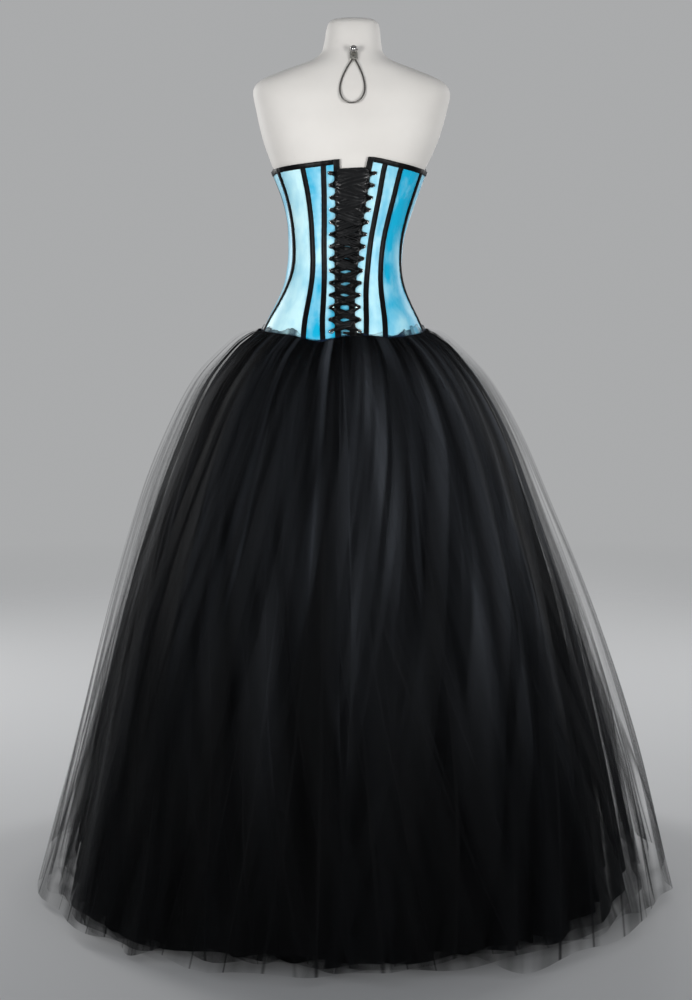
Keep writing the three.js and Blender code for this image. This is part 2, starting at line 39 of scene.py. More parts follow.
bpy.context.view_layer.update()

# The camera looks at the laced back of the dress, from the height and distance of the photograph.
viewer = {"place": (-0.0036, -3.316, 1.146), "down": 7.8, "lens": 65.9, "sensor": 36}
cameraData = bpy.data.cameras.new("viewCamera")
cameraData.lens = viewer["lens"]
cameraData.sensor_width = viewer["sensor"]
camera = bpy.data.objects.new("viewCamera", cameraData)
camera.location = viewer["place"]
camera.rotation_euler = (math.radians(90 - viewer["down"]), 0, 0)
scene.collection.objects.link(camera)
scene.camera = camera
print("camera placed")

# Lengths in the tables and in the shape functions are millimetres, as in the part's source.
# The form's level sections: height, half width, depth to the back, depth to the front, lean.
formRows = np.array(
    [
        (1550, 22, 10, 34, 9.5),
        (1547, 36, 24, 47, 9.4),
        (1538, 45, 35, 57, 9.2),
        (1505, 50.8, 45, 58, 8),
        (1488, 56, 52, 56, 7.2),
        (1475, 74, 59, 56, 6.4),
        (1461, 113, 67, 58, 5),
        (1443, 157, 76, 63, 4.6),
        (1430, 171.5, 82, 68, 5.4),
        (1416, 174.5, 87, 74, 6.4),
        (1392, 170, 92, 83, 6.4),
        (1362, 163, 97, 95, 5.6),
        (1332, 154, 96, 103, 4.6),
        (1306, 143.5, 92, 108, 3.4),
        (1284, 133.5, 89, 110, 2.4),
        (1262, 124.6, 86, 109, 2.6),
        (1240, 116.6, 83, 106, 2.8),
        (1216, 109, 80, 101, 1.8),
        (1192, 103, 77, 96, 0),
        (1168, 99, 75, 92, -2.6),
        (1144, 97, 74, 90, -4.6),
        (1120, 96.8, 74.5, 89, -5.8),
        (1096, 99.6, 77, 90, -6.7),
        (1072, 106.4, 82, 92, -7.5),
        (1048, 117, 89, 95, -8.1),
        (1024, 129.4, 97, 98, -8.5),
        (1000, 140, 105, 101, -8.5),
        (970, 150, 113, 102, -8.5),
        (935, 156, 119, 100, -8.5),
        (895, 154, 117, 95, -8.5),
        (880, 140, 104, 82, -8.5),
    ],
    float,
)
# The bodice's top edge and its waist seam: turns in degrees from the centre back, heights.
topEdge = np.array(
    [
        (-180, -160, -138, -115, -90, -60, -30, 0, 15, 35, 60, 90, 115, 138, 160, 180),
        (1298, 1314, 1322, 1290, 1281, 1286, 1293, 1301, 1303, 1294, 1285, 1281, 1290, 1322, 1314, 1298),
    ],
    float,
).T
waistSeam = np.array(
    [
        (-180, -130, -90, -38, -17, 0, 14, 32, 60, 90, 130, 180),
        (984, 998, 1003, 999, 989, 997, 999, 995, 999, 1003, 998, 984),
    ],
    float,
).T
# Each half's seams, in degrees from the centre back at five shares of the bodice's height.
seamShares = (0, 0.24, 0.46, 0.72, 1)
seamTurns = {
    -1: {
        "edge": (1.9, 3.4, 5.4, 7.8, 7.8),
        "back": (13.2, 17.2, 20.7, 22.4, 18.4),
        "sideBack": (26.9, 30.5, 32.5, 35.5, 34.4),
        "side": (76, 67, 58.6, 62, 61.5),
        "sideFront": (108, 105.6, 104, 103.7, 104),
        "front": (146, 149.6, 151, 147.1, 141),
    },
    1: {
        "edge": (5.2, 5.6, 8.7, 9.8, 13.2),
        "back": (15.3, 19.7, 23.8, 24.6, 25.4),
        "sideBack": (28.3, 34, 37.2, 37.9, 38.5),
        "side": (76, 75.4, 71, 64.4, 63.8),
        "sideFront": (108, 106.8, 106, 105.9, 106),
        "front": (146, 149.6, 151, 147.1, 141),
    },
}
seamOrder = ["edge", "back", "sideBack", "side", "sideFront", "front"]
bodiceBelowSeam = 13
sideNames = {-1: "left", 1: "right"}


# A smooth curve through a table's rows, read at many places at once.
def read(keys, values, place):
    place = np.asarray(place, float)
    keys, values = np.asarray(keys, float), np.asarray(values, float)
    sign = np.sign(keys[1] - keys[0])
    row = np.clip(np.searchsorted(sign * keys, sign * place) - 1, 0, len(keys) - 2)
    index = np.arange(len(keys))
    low, high = np.maximum(index - 1, 0), np.minimum(index + 1, len(keys) - 1)
    slopes = (values[high] - values[low]) / (keys[high] - keys[low])
    span = keys[row + 1] - keys[row]
    t = np.clip((place - keys[row]) / span, 0, 1)
    start = (2 * t**3 - 3 * t**2 + 1) * values[row] + (t**3 - 2 * t**2 + t) * slopes[row] * span
    return start + (3 * t**2 - 2 * t**3) * values[row + 1] + (t**3 - t**2) * slopes[row + 1] * span


def smooth(t):
    t = np.clip(t, 0, 1)
    return t * t * (3 - 2 * t)


def mix(a, b, share):
    return a + (b - a) * share


def formSection(z):
    return [read(formRows[:, 0], formRows[:, k], z) for k in (1, 2, 3, 4)]


def bustLift(turn, z):
    around = np.abs(np.arctan2(np.sin(turn), np.cos(turn)))
    return 20 * np.exp(-(((around - 2.5) / 0.44) ** 2) - ((z - 1268) / 54) ** 2)


# A level outline at a turn from the centre back, moved out by out, with its length for each radian.
def outline(turn, section, out):
    side, back, front, lean = section

    def curve(angle):
        full = 1 + 0.05 * np.sin(2 * angle) ** 2
        depth = np.where(np.cos(angle) > 0, back, front)
        return side * np.sin(angle) * full, -depth * np.cos(angle) * full

    step = 0.002
    (aheadX, aheadY), (x, y), (behindX, behindY) = curve(turn + step), curve(turn), curve(turn - step)
    dx, dy = aheadX - behindX, aheadY - behindY
    length = np.hypot(dx, dy)
    return x + lean + dy / length * out, y - dx / length * out, length / (2 * step)


def bodyPoint(turn, z, out, along=0):
    turn, z, out, along = np.broadcast_arrays(*[np.asarray(v, float) for v in (turn, z, out, along)])
    section = formSection(z)
    shifted = turn + along / outline(turn, section, 0)[2]
    x, y, _ = outline(shifted, section, out + bustLift(shifted, z))
    return np.stack([x, y, z], -1)


def edgeHeight(rows, turn):
    return read(rows[:, 0], rows[:, 1], np.degrees(np.arctan2(np.sin(turn), np.cos(turn))))


def seamHeight(turn):
    return edgeHeight(waistSeam, turn)


def topHeight(turn):
    return edgeHeight(topEdge, turn)


def bodiceHeight(turn, share):
    return mix(seamHeight(turn) - bodiceBelowSeam, topHeight(turn), share)


def shareAt(turn, z):
    low = seamHeight(turn) - bodiceBelowSeam
    return (z - low) / (topHeight(turn) - low)


def seamTurn(side, name, share):
    return side * np.radians(read(seamShares, seamTurns[side][name], share))


# Unit normals of a grid of points, square to its columns and rows.
def gridNormals(grid):
    normals = np.cross(np.gradient(grid, axis=0), np.gradient(grid, axis=1))
    return normals / np.maximum(np.linalg.norm(normals, axis=-1, keepdims=True), 1e-9)


# Makes a mesh in metres from points in millimetres. uvs are metres, one for each point.
def makeMesh(name, points, faces, uvs, sharp=40, attributes=None):
    mesh = bpy.data.meshes.new(name)
    mesh.from_pydata((np.asarray(points, float).reshape(-1, 3) * 0.001).tolist(), [], faces)
    mesh.validate()
    mesh.polygons.foreach_set("use_smooth", [True] * len(mesh.polygons))
    mesh.set_sharp_from_angle(angle=math.radians(sharp))
    corners = np.zeros(len(mesh.loops), int)
    mesh.loops.foreach_get("vertex_index", corners)
    layer = mesh.uv_layers.new(name="UVMap")
    layer.data.foreach_set("uv", np.asarray(uvs, float).reshape(-1, 2)[corners].ravel())
    for key, values in (attributes or {}).items():
        attribute = mesh.attributes.new(key, "FLOAT", "POINT")
        attribute.data.foreach_set("value", np.asarray(values, np.float32).ravel())
    mesh.update()
    thing = bpy.data.objects.new(name, mesh)
    scene.collection.objects.link(thing)
    return thing


def gridFaces(columns, rows, tube=False, start=0, flip=False):
    faces = []
    for i in range(columns if tube else columns - 1):
        a, b = start + i * rows, start + ((i + 1) % columns) * rows
        for j in range(rows - 1):
            quad = (a + j, b + j, b + j + 1, a + j + 1)
            faces.append(quad[::-1] if flip else quad)
    return faces


def gridUvs(grid):
    steps = np.linalg.norm(np.diff(grid, axis=0), axis=-1).mean(1)
    across = np.concatenate([[0], np.cumsum(steps)])[:, None] * np.ones(grid.shape[1])
    down = np.linalg.norm(np.diff(grid, axis=1), axis=-1).mean(0)
    along = np.concatenate([[0], np.cumsum(down)])[None] * np.ones((grid.shape[0], 1))
    return np.stack([across, along], -1) * 0.001


# A closed wall between an outer and an inner grid, each columns by rows.
def wallParts(outer, inner, start=0):
    columns, rows = outer.shape[:2]
    total = columns * rows
    faces = gridFaces(columns, rows, start=start)
    faces += gridFaces(columns, rows, start=start + total, flip=True)
    rim = [(i, 0) for i in range(columns)] + [(columns - 1, j) for j in range(1, rows)]
    rim += [(i, rows - 1) for i in range(columns - 2, -1, -1)] + [(0, j) for j in range(rows - 2, 0, -1)]
    for (i, j), (k, m) in zip(rim, rim[1:] + rim[:1]):
        a, b = start + i * rows + j, start + k * rows + m
        faces.append((b, a, a + total, b + total))
    points = np.concatenate([outer.reshape(-1, 3), inner.reshape(-1, 3)])
    uvs = np.concatenate([gridUvs(outer).reshape(-1, 2), gridUvs(inner).reshape(-1, 2)])
    return points, faces, uvs


def wall(name, outer, inner, sharp=40, attributes=None):
    points, faces, uvs = wallParts(outer, inner)
    doubled = {key: np.concatenate([np.ravel(v), np.ravel(v)]) for key, v in (attributes or {}).items()}
    return makeMesh(name, points, faces, uvs, sharp, doubled)


# A closed tube through sections of as many points each.
def loft(name, sections, sharp=40):
    sections = np.asarray(sections, float)
    count, size = sections.shape[:2]
    faces = []
    for i in range(count - 1):
        for j in range(size):
            k = (j + 1) % size
            faces.append((i * size + j, (i + 1) * size + j, (i + 1) * size + k, i * size + k))
    faces.append(tuple(range(size)))
    faces.append(tuple(range(count * size - 1, (count - 1) * size - 1, -1)))
    uvs = gridUvs(np.swapaxes(sections, 0, 1)).swapaxes(0, 1)
    thing = makeMesh(name, sections, faces, uvs, sharp)
    faceOutwards(thing)
    return thing


def faceOutwards(thing):
    mesh = thing.data
    mesh.calc_loop_triangles()
    points = np.zeros(len(mesh.vertices) * 3)
    mesh.vertices.foreach_get("co", points)
    corners = np.zeros(len(mesh.loop_triangles) * 3, int)
    mesh.loop_triangles.foreach_get("vertices", corners)
    a, b, c = points.reshape(-1, 3)[corners.reshape(-1, 3)].transpose(1, 0, 2)
    if (a * np.cross(b, c)).sum() < 0:
        mesh.flip_normals()


# Turns an open sheet's faces over if one of them looks towards the middle of the dress.
def faceAway(sheet, index):
    polygon = sheet.data.polygons[index]
    if polygon.normal.dot(Vector((polygon.center.x, polygon.center.y, 0))) < 0:
        sheet.data.flip_normals()


def joined(name, things):
    for other in bpy.context.selected_objects:
        other.select_set(False)
    for thing in things:
        thing.select_set(True)
    bpy.context.view_layer.objects.active = things[0]
    bpy.ops.object.join()
    things[0].name = name
    return things[0]


def settle(thing, material, slot, *nodes):
    if material is not None:
        thing.data.materials.clear()
        thing.data.materials.append(material)
    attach(thing, "root")
    if nodes:
        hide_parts(*nodes)
    return thing


def sheetArea(thing):
    return sum(polygon.area for polygon in thing.data.polygons)


# Materials. Each starts from a plain Principled surface, and its patterns are nodes.
def surface(name, **values):
    material = bpy.data.materials.new(name)
    material.use_nodes = True
    shader = material.node_tree.nodes["Principled BSDF"]
    for key, value in values.items():
        shader.inputs[key.replace("_", " ")].default_value = value
    return material, material.node_tree.nodes, material.node_tree.links, shader


def addNoise(nodes, links, coordinates, scale, detail=3, stretch=(1, 1, 1)):
    mapping = nodes.new("ShaderNodeMapping")
    mapping.inputs["Scale"].default_value = stretch
    links.new(coordinates, mapping.inputs["Vector"])
    noise = nodes.new("ShaderNodeTexNoise")
    noise.inputs["Scale"].default_value = scale
    noise.inputs["Detail"].default_value = detail
    links.new(mapping.outputs["Vector"], noise.inputs["Vector"])
    return noise.outputs["Fac"]


# Noise on the piece's own UV map, drawn out into streaks that lean by slant.
def addStreaks(nodes, links, coordinates, stretch, detail, slant=0):
    mapping = nodes.new("ShaderNodeMapping")
    mapping.vector_type = "TEXTURE"
    mapping.inputs["Rotation"].default_value = (0, 0, slant)
    mapping.inputs["Scale"].default_value = (1 / stretch[0], 1 / stretch[1], 1)
    links.new(coordinates, mapping.inputs["Vector"])
    noise = nodes.new("ShaderNodeTexNoise")
    noise.noise_dimensions = "2D"
    noise.inputs["Scale"].default_value = 1
    noise.inputs["Detail"].default_value = detail
    links.new(mapping.outputs["Vector"], noise.inputs["Vector"])
    return noise.outputs["Fac"]


def addBump(nodes, links, shader, height, strength, distance):
    bump = nodes.new("ShaderNodeBump")
    bump.inputs["Strength"].default_value = strength
    bump.inputs["Distance"].default_value = distance
    links.new(height, bump.inputs["Height"])
    links.new(bump.outputs["Normal"], shader.inputs["Normal"])


def addRange(nodes, links, value, low, high, fromLow=0.0, fromHigh=1.0):
    spread = nodes.new("ShaderNodeMapRange")
    for key, number in zip(("From Min", "From Max", "To Min", "To Max"), (fromLow, fromHigh, low, high)):
        spread.inputs[key].default_value = number
    links.new(value, spread.inputs["Value"])
    return spread.outputs["Result"]


def addMath(nodes, links, operation, first, second, clamp=False):
    node = nodes.new("ShaderNodeMath")
    node.operation = operation
    node.use_clamp = clamp
    links.new(first, node.inputs[0])
    if isinstance(second, float):
        node.inputs[1].default_value = second
    else:
        links.new(second, node.inputs[1])
    return node.outputs[0]


def addAttribute(nodes, key):
    node = nodes.new("ShaderNodeAttribute")
    node.attribute_name = key
    return node.outputs["Fac"]


def addTangent(nodes, links, shader):
    tangent = nodes.new("ShaderNodeTangent")
    tangent.direction_type = "UV_MAP"
    tangent.uv_map = "UVMap"
    links.new(tangent.outputs["Tangent"], shader.inputs["Tangent"])


def addMix(nodes, links, factor, first, second):
    blend = nodes.new("ShaderNodeMix")
    blend.data_type = "RGBA"
    sockets = [s for s in blend.inputs if s.name in ("A", "B") and s.type == "RGBA"]
    for socket, colour in zip(sockets, (first, second)):
        socket.default_value = colour
    links.new(factor, blend.inputs[0])
    return [s for s in blend.outputs if s.type == "RGBA"][0]


def makeSatinCyan():
    settings = {"deep": (0.0005, 0.43, 0.69, 1), "pale": (0.62, 0.94, 1.0, 1), "weave": 2600}
    material, nodes, links, shader = surface(
        "satinCyan",
        Roughness=0.34,
        Anisotropic=0.45,
        Sheen_Weight=0.06,
        Sheen_Roughness=0.35,
        Specular_IOR_Level=0.32,
    )
    place = nodes.new("ShaderNodeTexCoord")
    cloud = addNoise(nodes, links, place.outputs["Object"], 30, 5, (1, 1, 0.55))
    drift = addRange(nodes, links, cloud, -0.26, 0.26, 0.34, 0.66)
    # Each panel's paleness mark mixes the deep cyan towards the pale one: painted sheen standing in for the
    # satin's highlights, with a random drift of tone from the noise.
    toneAndSheen = addMath(nodes, links, "ADD", addAttribute(nodes, "toneAndSheen"), drift, clamp=True)
    colour = addMix(nodes, links, toneAndSheen, settings["deep"], settings["pale"])
    links.new(colour, shader.inputs["Base Color"])
    weave = addNoise(nodes, links, place.outputs["UV"], settings["weave"], 1, (0.35, 1, 1))
    addBump(nodes, links, shader, weave, 0.08, 0.0002)
    addTangent(nodes, links, shader)
    return material


def makeSatinBlack(name, low, high, shine):
    material, nodes, links, shader = surface(
        name,
        Base_Color=(0.0012, 0.0012, 0.0014, 1),
        Roughness=low,
        Anisotropic=0.35,
        Sheen_Weight=0,
        Specular_IOR_Level=shine,
    )
    place = nodes.new("ShaderNodeTexCoord")
    cloud = addNoise(nodes, links, place.outputs["Object"], 60, 3)
    links.new(addRange(nodes, links, cloud, low, high, 0.3, 0.7), shader.inputs["Roughness"])
    weave = addNoise(nodes, links, place.outputs["UV"], 2400, 1, (0.4, 1, 1))
    addBump(nodes, links, shader, weave, 0.1, 0.0002)
    addTangent(nodes, links, shader)
    return material


# Fine net: thin threads that let most of the light by. cover is how much of it the threads take
# where the net lies single. Gathers and crossing folds lay it double in soft streaks, and creases
# show as thin lines. The streaks of each layer lean by its own slant.
def makeTulle(name, cover, tint, low, line, slant=0):
    settings = {"cell": 0.0011, "streaks": (23, 0.9), "contours": (6, 0.2), "gap": 0.075}
    material, nodes, links, shader = surface(
        name, Roughness=0.6, Sheen_Weight=0.03, Sheen_Roughness=0.5, Specular_IOR_Level=0.06
    )
    shader.inputs["Sheen Tint"].default_value = (0.72, 0.8, 0.9, 1)
    place = nodes.new("ShaderNodeTexCoord")
    # The low mark takes the net's colour towards its low colour: painted shade in the folds' valleys, on the
    # dimmer folds and towards the hem.
    colour = addMix(nodes, links, addAttribute(nodes, "low"), tint, low)
    links.new(colour, shader.inputs["Base Color"])
    net = nodes.new("ShaderNodeTexVoronoi")
    net.feature = "DISTANCE_TO_EDGE"
    net.voronoi_dimensions = "2D"
    net.inputs["Scale"].default_value = 1 / settings["cell"]
    net.inputs["Randomness"].default_value = 0.25
    links.new(place.outputs["UV"], net.inputs["Vector"])
    threads = addRange(nodes, links, net.outputs["Distance"], cover * 1.7, cover * 0.55, 0.08, 0.25)
    streaks = addStreaks(nodes, links, place.outputs["UV"], settings["streaks"], 2, slant)
    thickness = addRange(nodes, links, streaks, 0.3, 2.7, 0.42, 0.68)
    veil = addAttribute(nodes, "veil")
    sheer = addMath(nodes, links, "MULTIPLY", threads, thickness)
    sheer = addMath(nodes, links, "MULTIPLY", sheer, veil)
    contour = addStreaks(nodes, links, place.outputs["UV"], settings["contours"], 0, slant)
    gap = addMath(nodes, links, "PINGPONG", contour, settings["gap"])
    thin = addRange(nodes, links, gap, line * 0.4, 0, 0.0012, 0.006)
    thin = addMath(nodes, links, "MULTIPLY", thin, veil)
    creases = addMath(nodes, links, "MULTIPLY", addAttribute(nodes, "crease"), line)
    total = sheer
    for extra in (thin, creases):
        total = addMath(nodes, links, "ADD", total, extra, clamp=True)
    links.new(total, shader.inputs["Alpha"])
    return material


# The dense inner layers: near black, with painted sheen in streaks on the folds, held back by painted shade
# in the folds' valleys and towards the hem.
def makeCore():
    settings = {"deep": (0.0012, 0.0012, 0.0013, 1), "paintedFoldSheen": (0.05, 0.056, 0.066, 1)}
    settings["streaks"] = (19, 0.9)
    material, nodes, links, shader = surface(
        "tulleDense", Roughness=0.8, Sheen_Weight=0, Specular_IOR_Level=0.02
    )
    place = nodes.new("ShaderNodeTexCoord")
    streaks = addStreaks(nodes, links, place.outputs["UV"], settings["streaks"], 3, 0.06)
    paintedFoldSheen = addRange(nodes, links, streaks, 0, 1, 0.49, 0.67)
    # The low mark is painted shade: it holds the painted sheen back in the folds' valleys, on the dimmer
    # folds and towards the hem.
    lit = addRange(nodes, links, addAttribute(nodes, "low"), 1, 0)
    share = addMath(nodes, links, "MULTIPLY", paintedFoldSheen, lit)
    colour = addMix(nodes, links, share, settings["deep"], settings["paintedFoldSheen"])
    links.new(colour, shader.inputs["Base Color"])
    fibres = addNoise(nodes, links, place.outputs["UV"], 420, 2, (3, 0.4, 1))
    addBump(nodes, links, shader, fibres, 0.25, 0.0006)
    return material


def makeFormWhite():
    settings = {"clean": (0.72, 0.695, 0.66, 1), "worn": (0.66, 0.635, 0.6, 1)}
    material, nodes, links, shader = surface("formWhite", Roughness=0.58, Specular_IOR_Level=0.35)
    place = nodes.new("ShaderNodeTexCoord")
    stain = addNoise(nodes, links, place.outputs["Object"], 9, 5)
    share = addRange(nodes, links, stain, 0, 1, 0.35, 0.75)
    mottled = addMix(nodes, links, share, settings["clean"], settings["worn"])
    links.new(mottled, shader.inputs["Base Color"])
    grain = addNoise(nodes, links, place.outputs["Object"], 900, 3)
    addBump(nodes, links, shader, grain, 0.12, 0.0004)
    return material


def makeStandBlack():
    material, nodes, links, shader = surface(
        "standBlack", Base_Color=(0.02, 0.02, 0.022, 1), Roughness=0.45, Specular_IOR_Level=0.5
    )
    place = nodes.new("ShaderNodeTexCoord")
    speckle = addNoise(nodes, links, place.outputs["Object"], 1400, 2)
    addBump(nodes, links, shader, speckle, 0.3, 0.0003)
    return material


def makeSteel(name, roughness, colour):
    material, nodes, links, shader = surface(name, Base_Color=colour, Metallic=1.0, Roughness=roughness)
    place = nodes.new("ShaderNodeTexCoord")
    wear = addNoise(nodes, links, place.outputs["Object"], 500, 4)
    worn = addRange(nodes, links, wear, roughness * 0.8, roughness * 1.35, 0.3, 0.7)
    links.new(worn, shader.inputs["Roughness"])
    return material


satinCyan = makeSatinCyan()
satinBlack = makeSatinBlack("satinBlack", 0.36, 0.48, 0.12)
ribbonSatin = makeSatinBlack("ribbonSatin", 0.17, 0.27, 0.6)
tulleDense = makeCore()
formWhite = makeFormWhite()
standBlack = makeStandBlack()
steelBright = makeSteel("steelBright", 0.14, (0.42, 0.41, 0.4, 1))
steelRope = makeSteel("steelRope", 0.3, (0.2, 0.19, 0.175, 1))
steelSleeve = makeSteel("steelSleeve", 0.3, (0.42, 0.41, 0.37, 1))
nickel = makeSteel("nickel", 0.2, (0.78, 0.76, 0.72, 1))
print("materials made")

# The hanging loop: a rope of twisted wires in a teardrop, held in a pressed sleeve under a ball-headed screw.
loop = {"screwZ": 1490.4, "aside": 2.3, "standOff": 5.6, "tilt": 24.5, "drop": 5, "height": 15, "diameter": 3}
ropeShape = {"length": 84, "half": 26.5, "pinch": 0.55, "spread": 2.6, "sway": 3.4, "steps": 300, "sides": 30}
ropeShape.update({"strands": 6, "twists": 22, "groove": 0.16})
tiltAngle = math.radians(loop["tilt"])
nape = bodyPoint(0, loop["screwZ"], 0) + np.array([loop["aside"], 0, 0])
loopDown = np.array([0, -math.sin(tiltAngle), -math.cos(tiltAngle)])
loopOut = np.array([0, loopDown[2], -loopDown[1]])
loopEye = nape + np.array([0, -loop["standOff"], 0])


def inLoop(side, down, out):
    side, down, out = np.broadcast_arrays(*[np.asarray(v, float) for v in (side, down, out)])
    flat = down[..., None] * loopDown + out[..., None] * loopOut
    return loopEye + flat + side[..., None] * np.array([1.0, 0, 0])


def hangRope():
    share = np.linspace(0, 1, ropeShape["steps"] + 1)
    fall = (1 - np.cos(2 * np.pi * share)) / 2
    swell = np.sin(2 * np.pi * share) * fall ** ropeShape["pinch"]
    side = -ropeShape["spread"] * np.cos(np.pi * share) - ropeShape["half"] * swell - ropeShape["sway"] * fall
    down = loop["drop"] + loop["height"] - 0.4 + ropeShape["length"] * fall
    path = inLoop(side, down, 0)
    heading = np.gradient(path, axis=0)
    heading /= np.linalg.norm(heading, axis=1, keepdims=True)
    outward = np.broadcast_to(loopOut, path.shape)
    across = np.cross(heading, outward)
    angle = np.linspace(0, 2 * np.pi, ropeShape["sides"], endpoint=False)
    twist = share[:, None] * ropeShape["twists"] * 2 * np.pi / ropeShape["strands"] * 3
    lobes = 1 - ropeShape["groove"] * (0.5 - 0.5 * np.cos(ropeShape["strands"] * (angle[None] - twist)))
    radius = loop["diameter"] / 2 * lobes
    rings = path[:, None] + across[:, None] * (radius * np.cos(angle))[..., None]
    rings = rings + outward[:, None] * (radius * np.sin(angle))[..., None]
    rope = settle(loft("hangWireRope", rings, 75), steelRope, "steel", "hang_wire")


hangRope()


def turned(name, rings, place, sides=48):
    angle = np.linspace(0, 2 * np.pi, sides, endpoint=False)
    sections = [place(radius * np.cos(angle), radius * np.sin(angle), distance) for radius, distance in rings]
    return loft(name, sections, 50)


def hangFittings():
    ball = {"radius": 6.4, "middle": 14.9, "shank": 2.2}
    rings = [(ball["shank"], 0.4), (ball["shank"], 9.2)]
    for angle in np.radians(np.linspace(-66, 84, 16)):
        rings.append((ball["radius"] * math.cos(angle), ball["middle"] + ball["radius"] * math.sin(angle)))

    def fromNape(x, z, out):
        return np.stack([nape[0] + x, np.full_like(x, nape[1] - out), nape[2] + z], -1)

    settle(turned("hangScrewBall", rings, fromNape), steelBright, "steel", "hang_screw")
    # The sleeve's sections: distances down from the eye, half widths, half thicknesses.
    sleeveRows = np.array(
        [
            (4.4, 5.2, 6.4, 8, 9.6, 10.8, 12, 13.4, 14.8, 16, 17.4, 19.2, 20),
            (4.4, 6.4, 6.9, 7, 6.9, 6.9, 7, 7, 6.9, 6.9, 7, 6.9, 6.3),
            (0.9, 1.4, 1.75, 1.85, 1.4, 1.3, 1.6, 1.85, 1.4, 1.3, 1.7, 1.75, 1.4),
        ],
        float,
    ).T
    angle = np.linspace(0, 2 * np.pi, 40, endpoint=False)
    squareX = np.sign(np.cos(angle)) * np.abs(np.cos(angle)) ** 0.6
    squareY = np.sign(np.sin(angle)) * np.abs(np.sin(angle)) ** 0.6
    downs = np.linspace(sleeveRows[0, 0], sleeveRows[-1, 0], 44)
    widths = read(sleeveRows[:, 0], sleeveRows[:, 1], downs)
    thicks = read(sleeveRows[:, 0], sleeveRows[:, 2], downs)
    sections = [inLoop(w * squareX, d, t * squareY) for d, w, t in zip(downs, widths, thicks)]
    sleeve = loft("sleeve", sections, 50)
    eye = {"radius": 5.4, "wire": 1.75, "thick": 1.25, "around": 48, "sides": 16}
    around = np.linspace(0, 2 * np.pi, eye["around"], endpoint=False)[:, None]
    section = np.linspace(0, 2 * np.pi, eye["sides"], endpoint=False)[None]
    reach = eye["radius"] + eye["wire"] * np.cos(section)
    thick = eye["thick"] * np.sin(section) + 0 * around
    ring = inLoop(reach * np.sin(around), -reach * np.cos(around), thick)
    faces, sides = [], eye["sides"]
    for i in range(eye["around"]):
        for j in range(sides):
            k, m = (i + 1) % eye["around"], (j + 1) % sides
            faces.append((i * sides + j, k * sides + j, k * sides + m, i * sides + m))
    eyeRing = makeMesh("eyeRing", ring, faces, gridUvs(ring))
    faceOutwards(eyeRing)
    settle(joined("hangSleeve", [sleeve, eyeRing]), steelSleeve, "steel", "hang_ferrule")


hangFittings()
print("hanging loop made")


def formBody():
    settings = {"around": 120, "bottom": 880, "shoulders": 1490, "top": 1550, "rows": 130, "neckRows": 60}
    z = np.linspace(settings["bottom"], settings["shoulders"], settings["rows"])
    neckZ = np.linspace(settings["shoulders"] + 3, settings["top"], settings["neckRows"])
    z = np.concatenate([z, neckZ])
    turn = np.linspace(0, 2 * np.pi, settings["around"], endpoint=False)
    rings = bodyPoint(turn[None], z[:, None], 0)
    # The neck's top closes with rings that shrink towards its middle; the base closes flat.
    middle = rings[-1].mean(0)
    caps = [middle + (rings[-1] - middle) * s + np.array([0, 0, 0.9 * (1 - s * s)]) for s in (0.8, 0.5, 0.2)]
    body = loft("formBody", np.concatenate([rings, caps]), 60)
    settle(body, formWhite, "form_white", "form_torso")


formBody()
for nodeName in ("stand_foot", "stand_pole"):
    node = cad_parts[nodeName]
    node.data.materials.clear()
    node.data.materials.append(standBlack)
print("form made")

# Painted sheen: how pale each satin panel is painted, standing in for the satin's highlights, at its bottom,
# its waist and its top.
panelPaintedSheen = {
    "back_left": (0.22, 0.42, 0.2),
    "side_back_left": (0.16, 0.34, 0.18),
    "side_left": (0.95, 0.8, 0.86),
    "side_front_left": (0.5, 0.4, 0.45),
    "princess_left": (0.35, 0.3, 0.4),
    "back_right": (0.82, 0.6, 0.62),
    "side_back_right": (0.86, 0.6, 0.42),
    "side_right": (0.42, 0.14, 0.0),
    "side_front_right": (0.25, 0.15, 0.2),
    "princess_right": (0.35, 0.3, 0.4),
    "front": (0.5, 0.45, 0.55),
}
panelNames = ["back", "side_back", "side", "side_front", "princess"]
panelWall = {"outer": 5.2, "inner": 3.6, "columns": 26, "rows": 120, "curve": 1.03}
relief = {"pucker": 0.3, "tape": 4.5, "reach": 4, "wrinkle": 0.55, "margin": 12, "waistZ": 1110, "waist": 55}


# Small puckers beside the tapes and soft wrinkles over the whole panel, in millimetres.
def clothRelief(across, width, z, seed):
    edge = np.minimum(across, 1 - across) * width
    phase = seed * 1.7
    ripple = np.sin(z / 1.9 + phase + 2 * np.sin(z / 23 + phase))
    ripple = ripple * np.exp(-np.maximum(edge - relief["tape"], 0) / relief["reach"])
    slant = np.sin(z / 17 + across * 3.1 + phase) * np.sin(z / 41 + phase * 2.3)
    slant = slant + 0.7 * np.sin(z / 9.5 - across * 4.2 + phase * 1.3) * np.sin(z / 58 - phase)
    waist = np.exp(-(((z - relief["waistZ"]) / relief["waist"]) ** 2))
    middle = np.clip(edge / relief["margin"], 0, 1)
    return relief["pucker"] * ripple + relief["wrinkle"] * middle * slant * (0.5 + 0.8 * waist)


